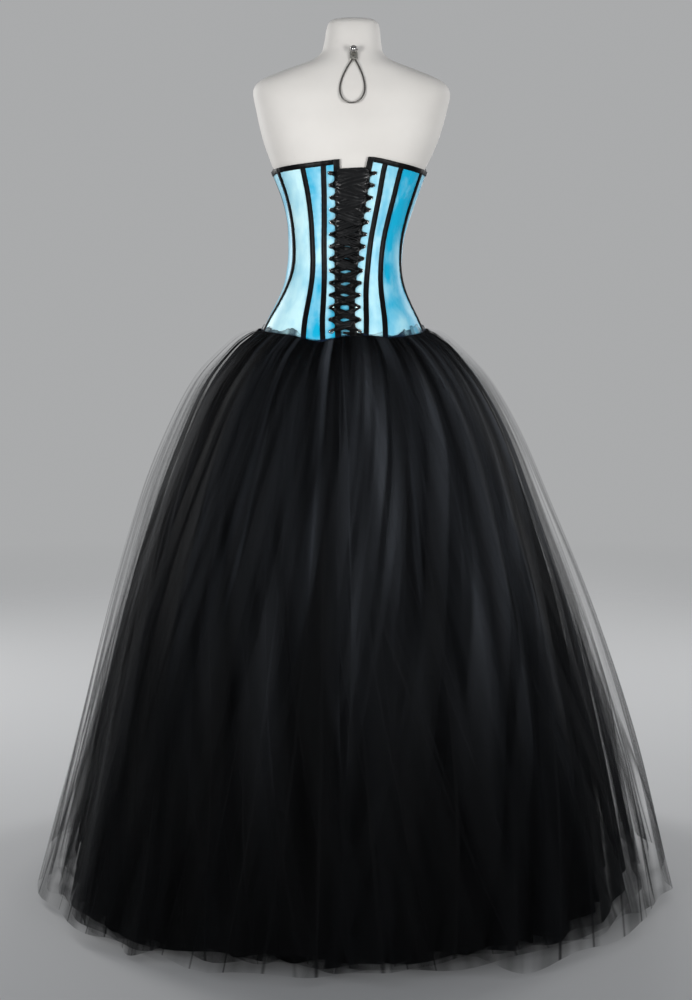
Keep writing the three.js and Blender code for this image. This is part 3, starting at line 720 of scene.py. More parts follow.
def bodicePanel(name, turnAt, gapAt, seed):
    across = np.linspace(0, 1, panelWall["columns"])[:, None]
    share = np.linspace(0, 1, panelWall["rows"])[None]
    turn = turnAt(across, share)
    z = bodiceHeight(turn, share)
    ends = bodyPoint(turn[[0, -1]], z[[0, -1]], 5)
    width = np.linalg.norm(ends[1] - ends[0], axis=-1)[None]
    out = panelWall["outer"] + clothRelief(across, width, z, seed)
    outer = bodyPoint(turn, z, out, gapAt(across))
    inner = bodyPoint(turn, z, panelWall["inner"] + 0 * out, gapAt(across))
    # The panel's paleness is painted sheen: read from its table at each height, and rippled across the panel.
    bottom, waist, top = panelPaintedSheen[name]
    toneAndSheen = read((0, 0.46, 1), (bottom, waist, top), share * np.ones_like(across))
    flank = 0.1 * np.sin(across * 2.6 * np.pi + seed) * np.sin(share * 4.2 + seed * 0.7)
    panel = wall(f"satin_{name}", outer, inner, 35, {"toneAndSheen": np.clip(toneAndSheen + flank, 0, 1)})
    faceOutwards(panel)
    settle(panel, satinCyan, "satin_cyan", f"bodice_{name}")
    return panel


def bodice():
    seed = 1
    for side in (-1, 1):
        for k, name in enumerate(panelNames):
            first, second = seamOrder[k], seamOrder[k + 1]
            bodicePanel(
                f"{name}_{sideNames[side]}",
                lambda a, s, p=first, q=second, w=side: mix(seamTurn(w, p, s), seamTurn(w, q, s), a),
                lambda a, w=side: w * 0.3 * (0.5 - a),
                seed,
            )
            seed += 1
    bodicePanel(
        "front",
        lambda a, s: mix(seamTurn(1, "front", s), seamTurn(-1, "front", s) + 2 * np.pi, a),
        lambda a: 0.3 * (0.5 - a),
        seed,
    )


bodice()


def modestyPanel():
    settings = {"overlap": 13, "inner": 0.6, "outer": 1.6, "top": 1282, "bottom": 986}
    settings.update({"columns": 30, "rows": 110, "cutWidth": 0.08, "cutLength": 0.3})
    across = np.linspace(0, 1, settings["columns"])[:, None]
    share = np.linspace(0, 1, settings["rows"])[None]
    left, right = seamTurn(-1, "edge", share), seamTurn(1, "edge", share)
    turn = mix(left, right, smooth((across - 0.2) / 0.6))
    nearEdge = np.clip((np.abs(across - 0.5) - 0.3) / 0.2, 0, 1)
    along = np.where(across < 0.5, -1, 1) * settings["overlap"] * nearEdge
    z = np.clip(bodiceHeight(turn, share), settings["bottom"], settings["top"])
    z = settings["bottom"] + (z[:, -1:] - settings["bottom"]) * share
    crease = 0.35 * np.sin(z / 6 + 3 * across) * np.sin(z / 37)
    outer = bodyPoint(turn, z, settings["outer"] + crease, along)
    inner = bodyPoint(turn, z, settings["inner"] + 0 * crease, along)
    # The modesty panel's paleness, a middling value in soft waves, is painted sheen like the other panels'.
    panel = wall("satin_modesty", outer, inner, 35, {"toneAndSheen": 0.32 + 0.12 * np.sin(z / 30 + 2 * across)})
    faceOutwards(panel)
    settle(panel, satinCyan, "satin_cyan", "modesty_panel")


modestyPanel()
print("satin panels made")


# A strip that follows a seam, cut to the slope of the waist seam and of the top edge.
# Its section lists a stand-off and a shift along the body for each point.
def seamStrip(name, side, seam, section, rise, fall, rows=130, ripple=0.12):
    section = np.asarray(section, float)
    out, along = section[:, 0], section[:, 1]

    def endShare(share, height):
        turn = seamTurn(side, seam, share)
        speed = outline(turn, formSection(height(turn)), 0)[2]
        return shareAt(turn, height(turn + along / speed))

    low = endShare(0, lambda turn: seamHeight(turn) + rise)
    high = endShare(1, lambda turn: topHeight(turn) - fall)
    t = np.linspace(0, 1, rows)[:, None]
    share = mix(low[None], high[None], t)
    turn = seamTurn(side, seam, share)
    z = bodiceHeight(turn, np.clip(share, -0.2, 1))
    z = z + np.maximum(share - 1, 0) * (topHeight(turn) - seamHeight(turn))
    wave = ripple * np.sin(z / 2.6 + side) * np.sin(z / 19)
    return loft(name, bodyPoint(turn, z, out[None] + wave, along[None]), 50)


def boneTapes():
    # The tape's section: stand-off, shift. It lies flat at both edges and rises over its bone.
    half = [(6.35, 4.5), (6.75, 4.1), (6.8, 3.3), (6.95, 2.9), (7.45, 2.1), (7.75, 1.1)]
    section = [(5.5, -4.5), (5.5, 4.5), *half, (7.85, 0), *[(out, -along) for out, along in half[::-1]]]
    for side in (-1, 1):
        for seam in seamOrder[1:]:
            label = f"{seam.replace('B', '_b').replace('F', '_f')}_{sideNames[side]}"
            tape = seamStrip(f"tapeSatin_{label}", side, seam, section, -2.5, 6.4)
            settle(tape, satinBlack, "satin_black", f"tape_{label}")


boneTapes()

# A binding's folded section: stand-off, and reach past the edge as a share of its depth or in millimetres.
foldOuter = [(6.75, -1.0), (7.05, -0.8), (7.15, -0.4), (7.05, -0.05)]
foldRound = [(6.7, 0.9), (5.9, 1.55), (4.5, 1.8), (3.2, 1.45), (2.3, 0.6)]
foldInner = [(2.05, -0.1), (2.0, -1.0), (2.8, -1.0), (2.85, -0.1)]
foldCavity = [(3.3, 0.35), (4.4, 0.45), (5.5, 0.35), (5.95, -0.1), (5.95, -1.0)]


def foldedSection(depth):
    rows = [(out, reach * depth) for out, reach in foldOuter]
    rows += foldRound
    rows += [(out, reach * depth) for out, reach in foldInner]
    rows += [(out, reach if reach > -0.2 else reach * depth) for out, reach in foldCavity]
    return np.array(rows)


def bindings():
    settings = {"topDepth": 7, "edgeDepth": 8.5, "columns": 420, "fromEdge": 8.9}

    # The top binding starts beside each edge binding, at the height of the top edge there.
    def topEnd(side, z):
        edge = float(seamTurn(side, "edge", 1.0))
        return edge + side * settings["fromEdge"] / float(outline(edge, formSection(z), 0)[2])

    section = foldedSection(settings["topDepth"])
    turn = np.linspace(topEnd(1, 1303), topEnd(-1, 1298) + 2 * np.pi, settings["columns"])[:, None]
    z = topHeight(turn) + section[None, :, 1]
    arc = np.linspace(0, 850, settings["columns"])[:, None]
    ripple = 0.16 * np.sin(arc / 2.3) * np.sin(arc / 31) * (section[None, :, 0] > 6)
    rim = loft("bindingTopSatin", bodyPoint(turn, z, section[None, :, 0] + ripple), 50)
    settle(rim, satinBlack, "satin_black", "binding_top")
    for side in (-1, 1):
        section = foldedSection(settings["edgeDepth"])
        section[:, 1] = side * (0.15 - section[:, 1])
        strip = seamStrip(f"bindingEdgeSatin_{sideNames[side]}", side, "edge", section, -2, -1.6, 140, 0.14)
        settle(strip, satinBlack, "satin_black", f"binding_edge_{sideNames[side]}")


bindings()
print("tapes and bindings made")

# The lacing: one long ribbon, gathered into 14 eyelets a side and spread over the gap between them.
eyeletRow = {"count": 14, "topZ": 1277, "bottomZ": 1003.4, "inset": 14.5}


def eyeletPlace(side, index):
    z = mix(eyeletRow["topZ"], eyeletRow["bottomZ"], index / (eyeletRow["count"] - 1))
    edge = float(seamTurn(side, "edge", shareAt(float(seamTurn(side, "edge", 0.5)), z)))
    return edge + side * eyeletRow["inset"] / float(outline(edge, formSection(z), 0)[2]), z


def ribbonRun(first, last, width, order, crush, seed):
    settings = {"columns": 56, "rows": 29, "tip": 4.6, "held": 6.5, "thick": 0.32, "over": 3.2}
    settings.update({"gather": 1.5, "gathers": 3.6, "flutter": 0.12, "soft": 0.9, "bow": 1.6, "curl": 0.5})
    random = np.random.default_rng(seed)
    u = np.linspace(0, 1, settings["columns"])
    u = (u + smooth(u)) / 2
    u = u[:, None]
    v = np.linspace(-1, 1, settings["rows"])[None]
    near = np.minimum(u, 1 - u)
    # It stays gathered from the eyelet to the bound edge, and spreads over the gap.
    span = float(np.linalg.norm(bodyPoint(*last, 8) - bodyPoint(*first, 8)))
    spread = smooth((near - settings["held"] / span) / random.uniform(0.13, 0.2))
    half = mix(settings["tip"], width, spread) / 2
    half = half * (1 + settings["flutter"] * spread * np.sin(u * 5 + random.uniform(0, 6)))
    lift = smooth(near / 0.2)
    pleats = random.choice([1.8, 2.4, 3])
    phase = random.uniform(0, 2 * np.pi)
    fan = (1 - spread) ** 1.2 * 0.9 + crush * spread * (0.55 + 0.45 * np.sin(u * 5 + phase) ** 2)
    pleat = fan * np.sin(np.pi * pleats * v + phase)
    gathered = settings["gather"] * (1 - spread) * np.sin(np.pi * settings["gathers"] * v + 2 * phase)
    soft = settings["soft"] * spread * np.sin(np.pi * (0.9 * v + 1.1 * u) + phase * 1.7)
    tilt = random.uniform(-0.9, -0.3) * v * spread
    out = mix(7.2, 9.5 + 1.5 * order, lift) + pleat + gathered + soft + tilt
    out = np.maximum(out, mix(4.6, 7.6, smooth(near / 0.06)))
    bow = random.uniform(-settings["bow"], settings["bow"]) * np.sin(np.pi * u) * (order >= 0)
    # The ends lie a little way past the middle of their eyelets.
    ahead = math.copysign(settings["over"] / 100, last[0] - first[0])
    turn = mix(first[0] - ahead, last[0] + ahead, u) + 0 * v
    curl = settings["curl"] * spread * np.sin(6 * u + phase) * (1 - v * v)
    z = mix(first[1], last[1], u) + v * half + bow + curl
    outer = bodyPoint(turn, z, out)
    normals = gridNormals(outer)
    outward = bodyPoint(turn, z, out + 1) - outer
    normals = normals * np.sign((normals * outward).sum(-1, keepdims=True))
    return outer, outer - normals * settings["thick"]


def lacing():
    settings = {"topWidth": 29, "lowWidth": 12, "narrowBy": 9, "cutWidth": 0.029}
    # Each free end: how far it reaches to the side in degrees, how far it falls, and its crumpled width.
    settings["ends"] = [(9.5, 4.5, 8), (6.0, 7.5, 7)]
    runs = [(eyeletPlace(-1, 0), eyeletPlace(1, 0), 17, -0.2, 0.2)]
    for i in range(eyeletRow["count"] - 1):
        part = min(1, i / settings["narrowBy"])
        width = mix(settings["topWidth"], settings["lowWidth"], part)
        crush = mix(0.6, 1.6, part)
        runs.append((eyeletPlace(-1, i), eyeletPlace(1, i + 1), width, (i % 2) * 1.0, crush))
        runs.append((eyeletPlace(1, i), eyeletPlace(-1, i + 1), width, 1.0 - (i % 2) * 1.0, crush))
    # The ribbon's two ends leave the lowest eyelet on the right, and are crumpled over the top of the skirt.
    turn, z = eyeletPlace(1, eyeletRow["count"] - 1)
    for reach, fall, width in settings["ends"]:
        tip, root = (turn - math.radians(reach), z - fall * 0.4), (turn + math.radians(1.2), z - fall)
        runs.append((tip, root, width, 1.1, 1.3))
    points, faces, uvs, start, length = [], [], [], 0, 0.0
    for k, (first, last, width, order, crush) in enumerate(runs):
        outer, inner = ribbonRun(first, last, width, order, crush, 40 + k)
        part = wallParts(outer, inner, start)
        points.append(part[0])
        faces += part[1]
        uvs.append(part[2])
        start += len(part[0])
        length += float(np.linalg.norm(np.diff(outer[:, 10], axis=0), axis=-1).sum()) / 1000
    ribbon = makeMesh("lacingRibbonSatin", np.concatenate(points), faces, np.concatenate(uvs), 60)
    faceOutwards(ribbon)
    settle(ribbon, ribbonSatin, "satin_black", "lacing_ribbon")
    share = sheetArea(ribbon) / 2 / (settings["cutWidth"] * length)
    print("ribbon length", round(length, 3), "share", round(share, 3))


lacing()


def newTree(name, inputs):
    tree = bpy.data.node_groups.new(name, "GeometryNodeTree")
    tree.interface.new_socket(name="Geometry", in_out="INPUT", socket_type="NodeSocketGeometry")
    sockets = {}
    for key, value in inputs.items():
        socket = tree.interface.new_socket(name=key, in_out="INPUT", socket_type="NodeSocketFloat")
        sockets[key] = (socket.identifier, value)
    tree.interface.new_socket(name="Geometry", in_out="OUTPUT", socket_type="NodeSocketGeometry")
    return tree, sockets, tree.nodes.new("NodeGroupInput"), tree.nodes.new("NodeGroupOutput")


# Each link of a tree: a node and its output, then a node and its input.
def wire(tree, rows):
    for source, output, target, entry in rows:
        tree.links.new(source.outputs[output], target.inputs[entry])


def finishTree(tree, material, place, output):
    realize = tree.nodes.new("GeometryNodeRealizeInstances")
    paint = tree.nodes.new("GeometryNodeSetMaterial")
    paint.inputs["Material"].default_value = material
    rows = [(place, "Instances", realize, "Geometry"), (realize, "Geometry", paint, "Geometry")]
    wire(tree, rows + [(paint, "Geometry", output, "Geometry")])


# A bare mesh of points in millimetres, with the edges between them, for a node tree to grow on.
def helperMesh(name, points, edges):
    mesh = bpy.data.meshes.new(name)
    mesh.from_pydata((points * 0.001).tolist(), edges, [])
    helper = bpy.data.objects.new(name, mesh)
    scene.collection.objects.link(helper)
    return helper


# Turns a helper mesh with a node tree on it into a plain mesh, and removes the helper.
def grown(name, helper, tree, sockets):
    modifier = helper.modifiers.new("grow", "NODES")
    modifier.node_group = tree
    for identifier, value in sockets.values():
        modifier[identifier] = value
    bpy.context.view_layer.update()
    evaluated = helper.evaluated_get(bpy.context.evaluated_depsgraph_get())
    mesh = bpy.data.meshes.new_from_object(evaluated)
    mesh.name = name
    bpy.data.objects.remove(helper)
    mesh.polygons.foreach_set("use_smooth", [True] * len(mesh.polygons))
    thing = bpy.data.objects.new(name, mesh)
    scene.collection.objects.link(thing)
    return thing


# Stitches: a grain of thread set at every step of each helper line.
def stitches():
    sizes = {"Step": 0.0031, "Radius": 0.00028, "Stretch": 3.9}
    tree, sockets, entry, exitNode = newTree("stitchRows", sizes)
    nodes = tree.nodes
    line = nodes.new("GeometryNodeMeshToCurve")
    resample = nodes.new("GeometryNodeResampleCurve")
    resample.mode = "LENGTH"
    tangent = nodes.new("GeometryNodeInputTangent")
    align = nodes.new("FunctionNodeAlignRotationToVector")
    align.axis = "Z"
    grain = nodes.new("GeometryNodeMeshUVSphere")
    grain.inputs["Segments"].default_value = 6
    grain.inputs["Rings"].default_value = 4
    scale = nodes.new("ShaderNodeCombineXYZ")
    scale.inputs["X"].default_value = 1
    scale.inputs["Y"].default_value = 1
    place = nodes.new("GeometryNodeInstanceOnPoints")
    rows = [
        (entry, "Geometry", line, "Mesh"),
        (line, "Curve", resample, "Curve"),
        (entry, "Step", resample, "Length"),
        (entry, "Radius", grain, "Radius"),
        (entry, "Stretch", scale, "Z"),
        (tangent, "Tangent", align, "Vector"),
        (resample, "Curve", place, "Points"),
        (grain, "Mesh", place, "Instance"),
        (align, "Rotation", place, "Rotation"),
        (scale, "Vector", place, "Scale"),
    ]
    wire(tree, rows)
    finishTree(tree, satinBlack, place, exitNode)

    # Rows run along both edges of each tape, along the edge bindings and under the top one.
    settings = {"count": 90, "start": 0.05, "tapeEnd": 0.965, "edgeEnd": 0.985, "tapeSide": 3.7}
    settings.update({"tapeOut": 6.95, "bindingOut": 7.2, "bindingSide": 7.4, "underTop": 6})
    lines = []
    for side in (-1, 1):
        for seam in seamOrder[1:]:
            for shift in (-settings["tapeSide"], settings["tapeSide"]):
                share = np.linspace(settings["start"], settings["tapeEnd"], settings["count"])
                turn = seamTurn(side, seam, share)
                lines.append(bodyPoint(turn, bodiceHeight(turn, share), settings["tapeOut"], shift))
        share = np.linspace(settings["start"], settings["edgeEnd"], settings["count"])
        turn = seamTurn(side, "edge", share)
        shift = side * settings["bindingSide"]
        lines.append(bodyPoint(turn, bodiceHeight(turn, share), settings["bindingOut"], shift))
    turn = np.linspace(0.38, 2 * np.pi - 0.22, 300)
    lines.append(bodyPoint(turn, topHeight(turn) - settings["underTop"], settings["bindingOut"]))
    edges, start = [], 0
    for row in lines:
        edges += [(start + i, start + i + 1) for i in range(len(row) - 1)]
        start += len(row)
    helper = helperMesh("stitchLines", np.concatenate(lines), edges)
    thread = grown("stitches", helper, tree, sockets)
    settle(thread, None, "satin_black")
    print("stitch triangles", sum(len(p.vertices) - 2 for p in thread.data.polygons))


stitches()


# Eyelets: a rolled nickel ring at each place, square to the cloth.
def eyeletRings():
    sizes = {"Ring": 0.0031, "Roll": 0.0009}
    tree, sockets, entry, exitNode = newTree("eyeletRings", sizes)
    nodes = tree.nodes
    facing = nodes.new("GeometryNodeInputNamedAttribute")
    facing.data_type = "FLOAT_VECTOR"
    facing.inputs["Name"].default_value = "facing"
    align = nodes.new("FunctionNodeAlignRotationToVector")
    align.axis = "Z"
    ring = nodes.new("GeometryNodeCurvePrimitiveCircle")
    ring.inputs["Resolution"].default_value = 28
    roll = nodes.new("GeometryNodeCurvePrimitiveCircle")
    roll.inputs["Resolution"].default_value = 10
    sweep = nodes.new("GeometryNodeCurveToMesh")
    place = nodes.new("GeometryNodeInstanceOnPoints")
    rows = [
        (entry, "Ring", ring, "Radius"),
        (entry, "Roll", roll, "Radius"),
        (ring, "Curve", sweep, "Curve"),
        (roll, "Curve", sweep, "Profile Curve"),
        (entry, "Geometry", place, "Points"),
        (sweep, "Mesh", place, "Instance"),
        (align, "Rotation", place, "Rotation"),
    ]
    wire(tree, rows)
    tree.links.new([s for s in facing.outputs if s.type == "VECTOR"][0], align.inputs["Vector"])
    finishTree(tree, nickel, place, exitNode)
    spots, facings = [], []
    for side in (-1, 1):
        for i in range(eyeletRow["count"]):
            turn, z = eyeletPlace(side, i)
            spot = bodyPoint(turn, z, 6.0)
            ahead = bodyPoint(turn, z, 7.0) - spot
            spots.append(spot)
            facings.append(ahead / np.linalg.norm(ahead))
    helper = helperMesh("eyeletSpots", np.array(spots), [])
    attribute = helper.data.attributes.new("facing", "FLOAT_VECTOR", "POINT")
    attribute.data.foreach_set("vector", np.array(facings, np.float32).ravel())
    rings = grown("eyelets", helper, tree, sockets)
    faceOutwards(rings)
    settle(rings, None, "steel")


eyeletRings()
print("lacing made")

# The skirt's profile: drop from the waist seam, half width, depths to the back and front as shares of it,
# lean, and half the depth of the folds. The outermost layer and the dense core have as many rows each.
outerRows = np.array(
    [
        (-1.5, 149.5, 0.764, 0.737, -8.5, 0.6),
        (0.6, 162, 0.8, 0.77, -9, 1),
        (5, 182, 0.84, 0.8, -11, 2.2),
        (28, 213, 0.88, 0.85, -12, 4.6),
        (88, 270, 0.92, 0.9, -13, 7.5),
        (183, 324, 0.95, 0.94, -11, 10),
        (311, 378, 0.97, 0.96, -9, 13),
        (500, 446, 0.99, 0.98, 2, 17),
        (740, 519, 1, 0.99, 12, 22),
        (998, 588, 1, 1, 12, 27),
    ]
)
coreRows = np.array(
    [
        (1.5, 149, 0.764, 0.737, -8.5, 0.5),
        (5, 156, 0.78, 0.75, -9, 1),
        (14, 168, 0.8, 0.78, -9, 2),
        (38, 196, 0.85, 0.83, -9, 4),
        (100, 243, 0.91, 0.89, -7, 6.5),
        (190, 286, 0.95, 0.93, -3, 8.5),
        (320, 333, 0.97, 0.96, -4, 9),
        (500, 388, 0.99, 0.98, -4, 12),
        (740, 442, 1, 0.99, -7, 16),
        (1000, 496, 1, 1, -14, 20),
    ]
)
# The net's own colour, and the darker colour that painted shade takes it to.
netTint = (0.017, 0.019, 0.0225, 1)
netPaintedShade = (0.003, 0.0032, 0.0036, 1)
tulleOuter = makeTulle("tulleOuter", 0.065, netTint, netPaintedShade, 0.5, 0.1)
tulleMiddle = makeTulle("tulleMiddle", 0.085, netTint, netPaintedShade, 0.4, -0.14)
tulleInner = makeTulle("tulleInner", 0.4, (0.058, 0.064, 0.074, 1), (0.0015, 0.0016, 0.0018, 1), 0.25, 0.17)
tulleFrill = makeTulle("tulleFrill", 0.42, (0.004, 0.012, 0.03, 1), (0.004, 0.012, 0.03, 1), 0.55)


# Points along the smooth curve through a profile's rows, closer together near the waist.
def profilePoints(rows, count):
    t = np.linspace(0, len(rows) - 1, 2000)
    smoothRows = np.stack([read(np.arange(len(rows)), rows[:, k], t) for k in range(rows.shape[1])], 1)
    steps = np.hypot(np.diff(smoothRows[:, 0]), np.diff(smoothRows[:, 1]))
    arc = np.concatenate([[0], np.cumsum(steps)])
    wanted = arc[-1] * np.linspace(0, 1, count) ** 1.35
    return np.stack([np.interp(wanted, arc, smoothRows[:, k]) for k in range(rows.shape[1])], 1)


# The places of a fold's columns across it, from one crest to the next.
foldSteps = (0, 0.012, 0.035, 0.08, 0.15, 0.24, 0.34, 0.45, 0.55, 0.66, 0.76, 0.85, 0.92, 0.965, 0.988)
# How the folds differ from each other, and how bright each one may be painted.
foldRanges = {"widths": (0.5, 1.5), "depths": (0.45, 1.0), "sharpness": (0.6, 1.25), "lines": (0.2, 1.0)}
foldRanges["glow"] = (0.1, 0.35, 0.7, 1.1, 1.5)
# How they fall: how far they drift and sway to the side, the fine gathers under the waist and how far
# these reach down, the width of a crease, where their painted light starts to fade and over what drop.
foldFall = {"drift": 0.07, "sway": 0.03, "gather": 1.3, "gatherDrop": 70, "crease": 0.014}
foldFall.update({"core": 1.9, "fadeFrom": 300, "fadeOver": 560, "seamShare": 0.42, "flare": 0.35})


# One layer of the skirt. Its columns follow its folds down, and lie closer together beside the
# crests, where the net is creased and reads as a line. deep is the folds' depth as a share of the
# room between the dense core and the outermost layer, and hem is how far over the floor it ends,
# and its unevenness.
def skirtLayer(name, spread, folds, rows, material, seed, deep, hem, nodes=()):
    steps = np.array(foldSteps)
    random = np.random.default_rng(seed)
    profile = profilePoints(mix(coreRows, outerRows, spread), rows)
    room = read(outerRows[:, 0], outerRows[:, 1], profile[:, 0])
    room = room - read(coreRows[:, 0], coreRows[:, 1], profile[:, 0])
    widths = random.uniform(*foldRanges["widths"], folds)
    edges = np.concatenate([[0], np.cumsum(widths / widths.sum())]) * 2 * np.pi
    depths = random.uniform(*foldRanges["depths"], folds)
    sharpness = random.uniform(*foldRanges["sharpness"], folds)
    lines = random.uniform(*foldRanges["lines"], folds)
    glow = random.choice(foldRanges["glow"], folds)
    fold = np.repeat(np.arange(folds), len(steps))
    x = np.tile(steps, folds)
    place = (edges[fold] + x * (edges[fold + 1] - edges[fold]))[:, None]
    columns = len(place)
    phases = random.uniform(0, 2 * np.pi, 8)
    raised = hem[0] + hem[1] * (
        0.5
        + 0.32 * np.sin(7 * place + phases[0])
        + 0.3 * np.sin(17 * place + phases[1]) * np.sin(3 * place + phases[2])
    )
    length = 1 - np.clip(raised, 0, 400) / 1000
    drop = np.where(profile[:, 0] > 0, profile[None, :, 0] * length, profile[None, :, 0])
    far = drop / 1000
    drift = foldFall["drift"] * far * np.sin(3 * place + phases[3] + 2.2 * far)
    drift = drift + foldFall["sway"] * far * np.sin(8 * place + phases[4] + 3.1 * far)
    turn = place - drift
    valley = ((0.5 - 0.5 * np.cos(2 * np.pi * x)) ** sharpness[fold] * depths[fold])[:, None]
    valley = valley * (1 + 0.22 * np.sin(6 * far + 1.7 * fold[:, None] + phases[5]))
    small = 0.5 + 0.5 * np.sin(folds * 2.6 * place + 2 * np.sin(5 * place + phases[6]) + 2.5 * far)
    wave = valley + 0.12 * small * (0.6 + 0.4 * np.sin(2 * place + phases[7] + 2 * far))
    side, back, front, lean, depth = [read(profile[:, 0], profile[:, k], drop) for k in range(1, 6)]
    depth = foldFall["core"] * depth if deep is None else deep * read(profile[:, 0], room, drop)
    gather = np.sin(place * 104 + 5 * np.sin(place * 9 + phases[3]))
    gather = np.exp(-np.maximum(drop, 0) / foldFall["gatherDrop"]) * gather
    z = mix(seamHeight(turn), 1003, smooth(drop / 300)) - drop
    z = z + (drop <= 0.2) * 1.1 * np.sin(place * 61 + phases[1])
    section = [side, side * back, side * front, lean]
    px, py, _ = outline(turn, section, gather * foldFall["gather"] - depth * wave)
    grid = np.stack([px, py, z], -1)
    crease = np.exp(-((np.minimum(x, 1 - x) / foldFall["crease"]) ** 2))[:, None] * lines[fold][:, None]
    crease = crease * (0.7 + 0.3 * np.sin(9 * far + 2.1 * fold[:, None])) * smooth(drop / 120)
    # Painted light and shade for the net's colour: each fold is painted brighter or dimmer by its glow, and
    # painted shade darkens its valley and the net towards the hem. The low mark carries it.
    bright = np.interp(place[:, 0], (edges[1:] + edges[:-1]) / 2, glow, period=2 * np.pi)[:, None]
    bright = 0.5 * bright + 0.5 * glow[fold][:, None]
    fade = smooth((drop - foldFall["fadeFrom"]) / foldFall["fadeOver"])
    lit = (1 - 0.88 * fade) * (1 - 0.95 * np.clip(valley, 0, 1) ** 0.7) * bright
    veil = 0.15 + 0.85 * smooth(drop / 130) + 1.5 * smooth((drop - 380) / 380)
    marks = {"crease": crease, "veil": veil, "low": 1 - lit}
    layer = makeMesh(name, grid, gridFaces(columns, rows, tube=True), gridUvs(grid), 70, marks)
    faceAway(layer, len(layer.data.polygons) // 4)
    settle(layer, material, "tulle_black", *nodes)


def skirt():
    skirtLayer("skirtCore", 0.0, 32, 62, tulleDense, 11, None, (0, 6), nodes=("skirt_under",))
    skirtLayer("skirtTulleA", 0.3, 24, 62, tulleInner, 12, 0.24, (2, 14))
    skirtLayer("skirtTulleB", 0.55, 20, 62, tulleMiddle, 13, 0.25, (2, 24))
    skirtLayer("skirtTulleC", 0.78, 17, 64, tulleMiddle, 14, 0.24, (3, 30))
    skirtLayer("skirtTulleD", 1.0, 15, 64, tulleOuter, 15, 0.24, (2, 30), nodes=("skirt_over",))


skirt()


# A raw edge of the tulle stands over the waist seam in places.
def waistFrill():
    settings = {"columns": 700, "rows": 7, "out": 8.4, "ruffle": 1.3, "least": 0.6, "below": 5, "rim": 0.55}
    # Each hump: turn in degrees, half width in degrees, height.
    humps = [(-62, 5, 7), (-52, 4, 3), (-37, 7, 9), (27, 4, 6), (45, 5, 8), (54, 4, 11), (62, 5, 13)]
    humps += [(98, 10, 8), (-98, 10, 8), (150, 14, 9), (-150, 14, 8)]
    turn = np.linspace(-np.pi, np.pi, settings["columns"], endpoint=False)[:, None]
    degrees = np.degrees(turn)
    tall = sum(top * np.exp(-(((degrees - at) / wide) ** 2)) for at, wide, top in humps)
    height = settings["least"] + tall
    height = height * (1 + 0.2 * np.abs(np.sin(turn * 42)) - 0.12 * np.abs(np.sin(turn * 23 + 1)))
    t = np.linspace(0, 1, settings["rows"])[None]
    z = seamHeight(turn) + mix(-settings["below"], height, t)
    ruffle = settings["ruffle"] * np.sin(turn * 62 + 3 * np.sin(turn * 13)) * (0.3 + 0.7 * t)
    grid = bodyPoint(turn, z, settings["out"] + ruffle * np.clip(height / 8, 0.3, 1))
    rim = np.where(t > 0.97, settings["rim"], 0.0) * np.ones_like(turn)
    faces = gridFaces(settings["columns"], settings["rows"], tube=True)
    marks = {"crease": rim, "veil": np.ones_like(rim), "low": np.zeros_like(rim)}
    frill = makeMesh("waistFrill", grid, faces, gridUvs(grid), 70, marks)
    faceAway(frill, 10)
    settle(frill, tulleFrill, "tulle_black")


waistFrill()
print("skirt made")


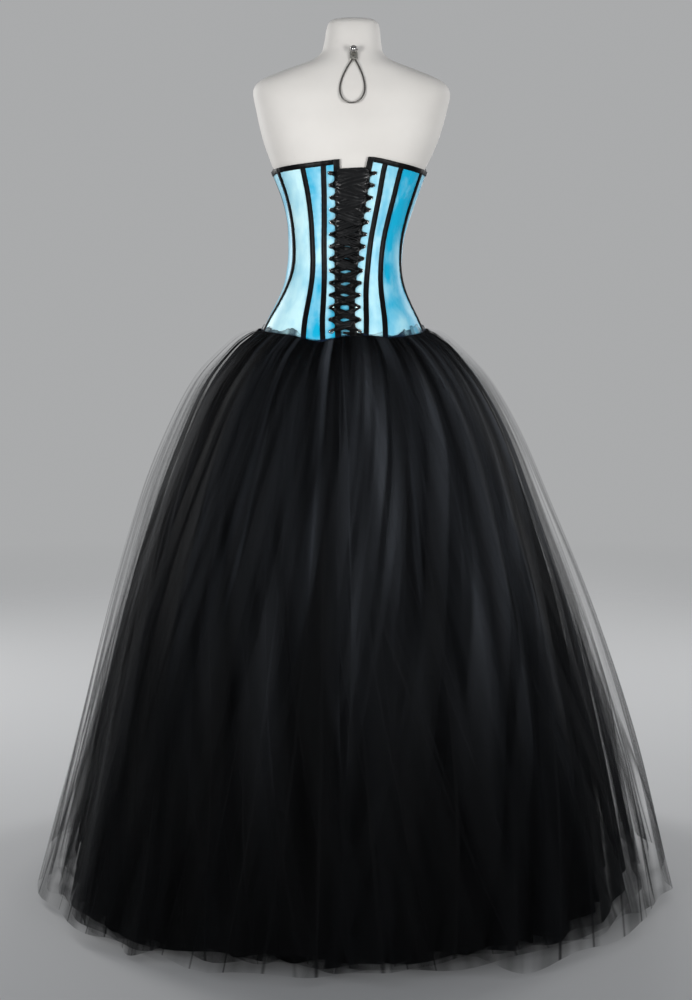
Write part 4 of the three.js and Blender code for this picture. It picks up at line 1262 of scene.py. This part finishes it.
# The stage: a pale floor that fades into a plain grey backdrop on every side, and large soft lights.
def stage():
    settings = {"radii": (0, 0.3, 0.6, 0.9, 1.2, 1.5, 1.8, 2.1, 2.4, 2.8, 3.3, 4.0)}
    settings.update({"sides": 96, "solid": 0.8})
    turn = np.linspace(0, 2 * np.pi, settings["sides"], endpoint=False)[:, None]
    radii = np.maximum(np.array(settings["radii"]), 0.001)[None] * 1000
    grid = np.stack([radii * np.cos(turn), radii * np.sin(turn), 0 * radii * turn], -1)
    start, end = settings["solid"] * 1000, settings["radii"][-1] * 1000
    fade = 1 - smooth((radii - start) / (end - start)) * np.ones_like(turn)
    faces = gridFaces(settings["sides"], len(settings["radii"]), tube=True)
    floor = makeMesh("studioFloor", grid, faces, gridUvs(grid), 70, {"fade": fade})
    if floor.data.polygons[0].normal.z < 0:
        floor.data.flip_normals()
    material, nodes, links, shader = surface("studioFloor", Base_Color=(0.72, 0.72, 0.72, 1), Roughness=0.7)
    links.new(addAttribute(nodes, "fade"), shader.inputs["Alpha"])
    floor.data.materials.append(material)
    world = bpy.data.worlds.new("studio")
    scene.world = world
    world.use_nodes = True
    tree = world.node_tree
    soft = tree.nodes["Background"]
    soft.inputs["Color"].default_value = (0.9, 0.94, 1, 1)
    soft.inputs["Strength"].default_value = 0.22
    seen = tree.nodes.new("ShaderNodeBackground")
    seen.inputs["Color"].default_value = (0.4, 0.405, 0.41, 1)
    path = tree.nodes.new("ShaderNodeLightPath")
    both = tree.nodes.new("ShaderNodeMixShader")
    tree.links.new(path.outputs["Is Camera Ray"], both.inputs[0])
    tree.links.new(soft.outputs[0], both.inputs[1])
    tree.links.new(seen.outputs[0], both.inputs[2])
    tree.links.new(both.outputs[0], tree.nodes["World Output"].inputs["Surface"])
    # Each light: name, place, size across and up, power, its beam in degrees, the point that it looks at.
    lights = [
        ("keyLeft", (-1.9, -3.0, 1.15), (0.9, 0.9), 4.8, 44, (0, 0, 1.08)),
        ("fillRight", (1.9, -3.0, 1.1), (0.9, 0.9), 4.4, 44, (0, 0, 1.08)),
        ("topSoft", (0.2, -0.6, 3.4), (2.4, 2.0), 3, 180, (0, 0, 1.0)),
        ("rimLeft", (-2.2, 1.9, 1.6), (0.8, 2.2), 40, 180, (0, 0, 0.9)),
        ("frontSoft", (0.5, 3.6, 1.5), (1.2, 1.2), 16, 180, (0, 0, 1.1)),
        ("rimRight", (2.2, 1.9, 1.6), (0.8, 2.2), 26, 180, (0, 0, 0.9)),
    ]
    for name, place, size, power, beam, target in lights:
        data = bpy.data.lights.new(name, "AREA")
        data.shape = "RECTANGLE"
        data.size, data.size_y = size
        data.energy = power
        data.spread = math.radians(beam)
        lamp = bpy.data.objects.new(name, data)
        lamp.location = place
        lamp.rotation_euler = (Vector(target) - Vector(place)).to_track_quat("-Z", "Y").to_euler()
        lamp.visible_camera = False
        scene.collection.objects.link(lamp)
    scene.view_settings.view_transform = "Standard"


stage()
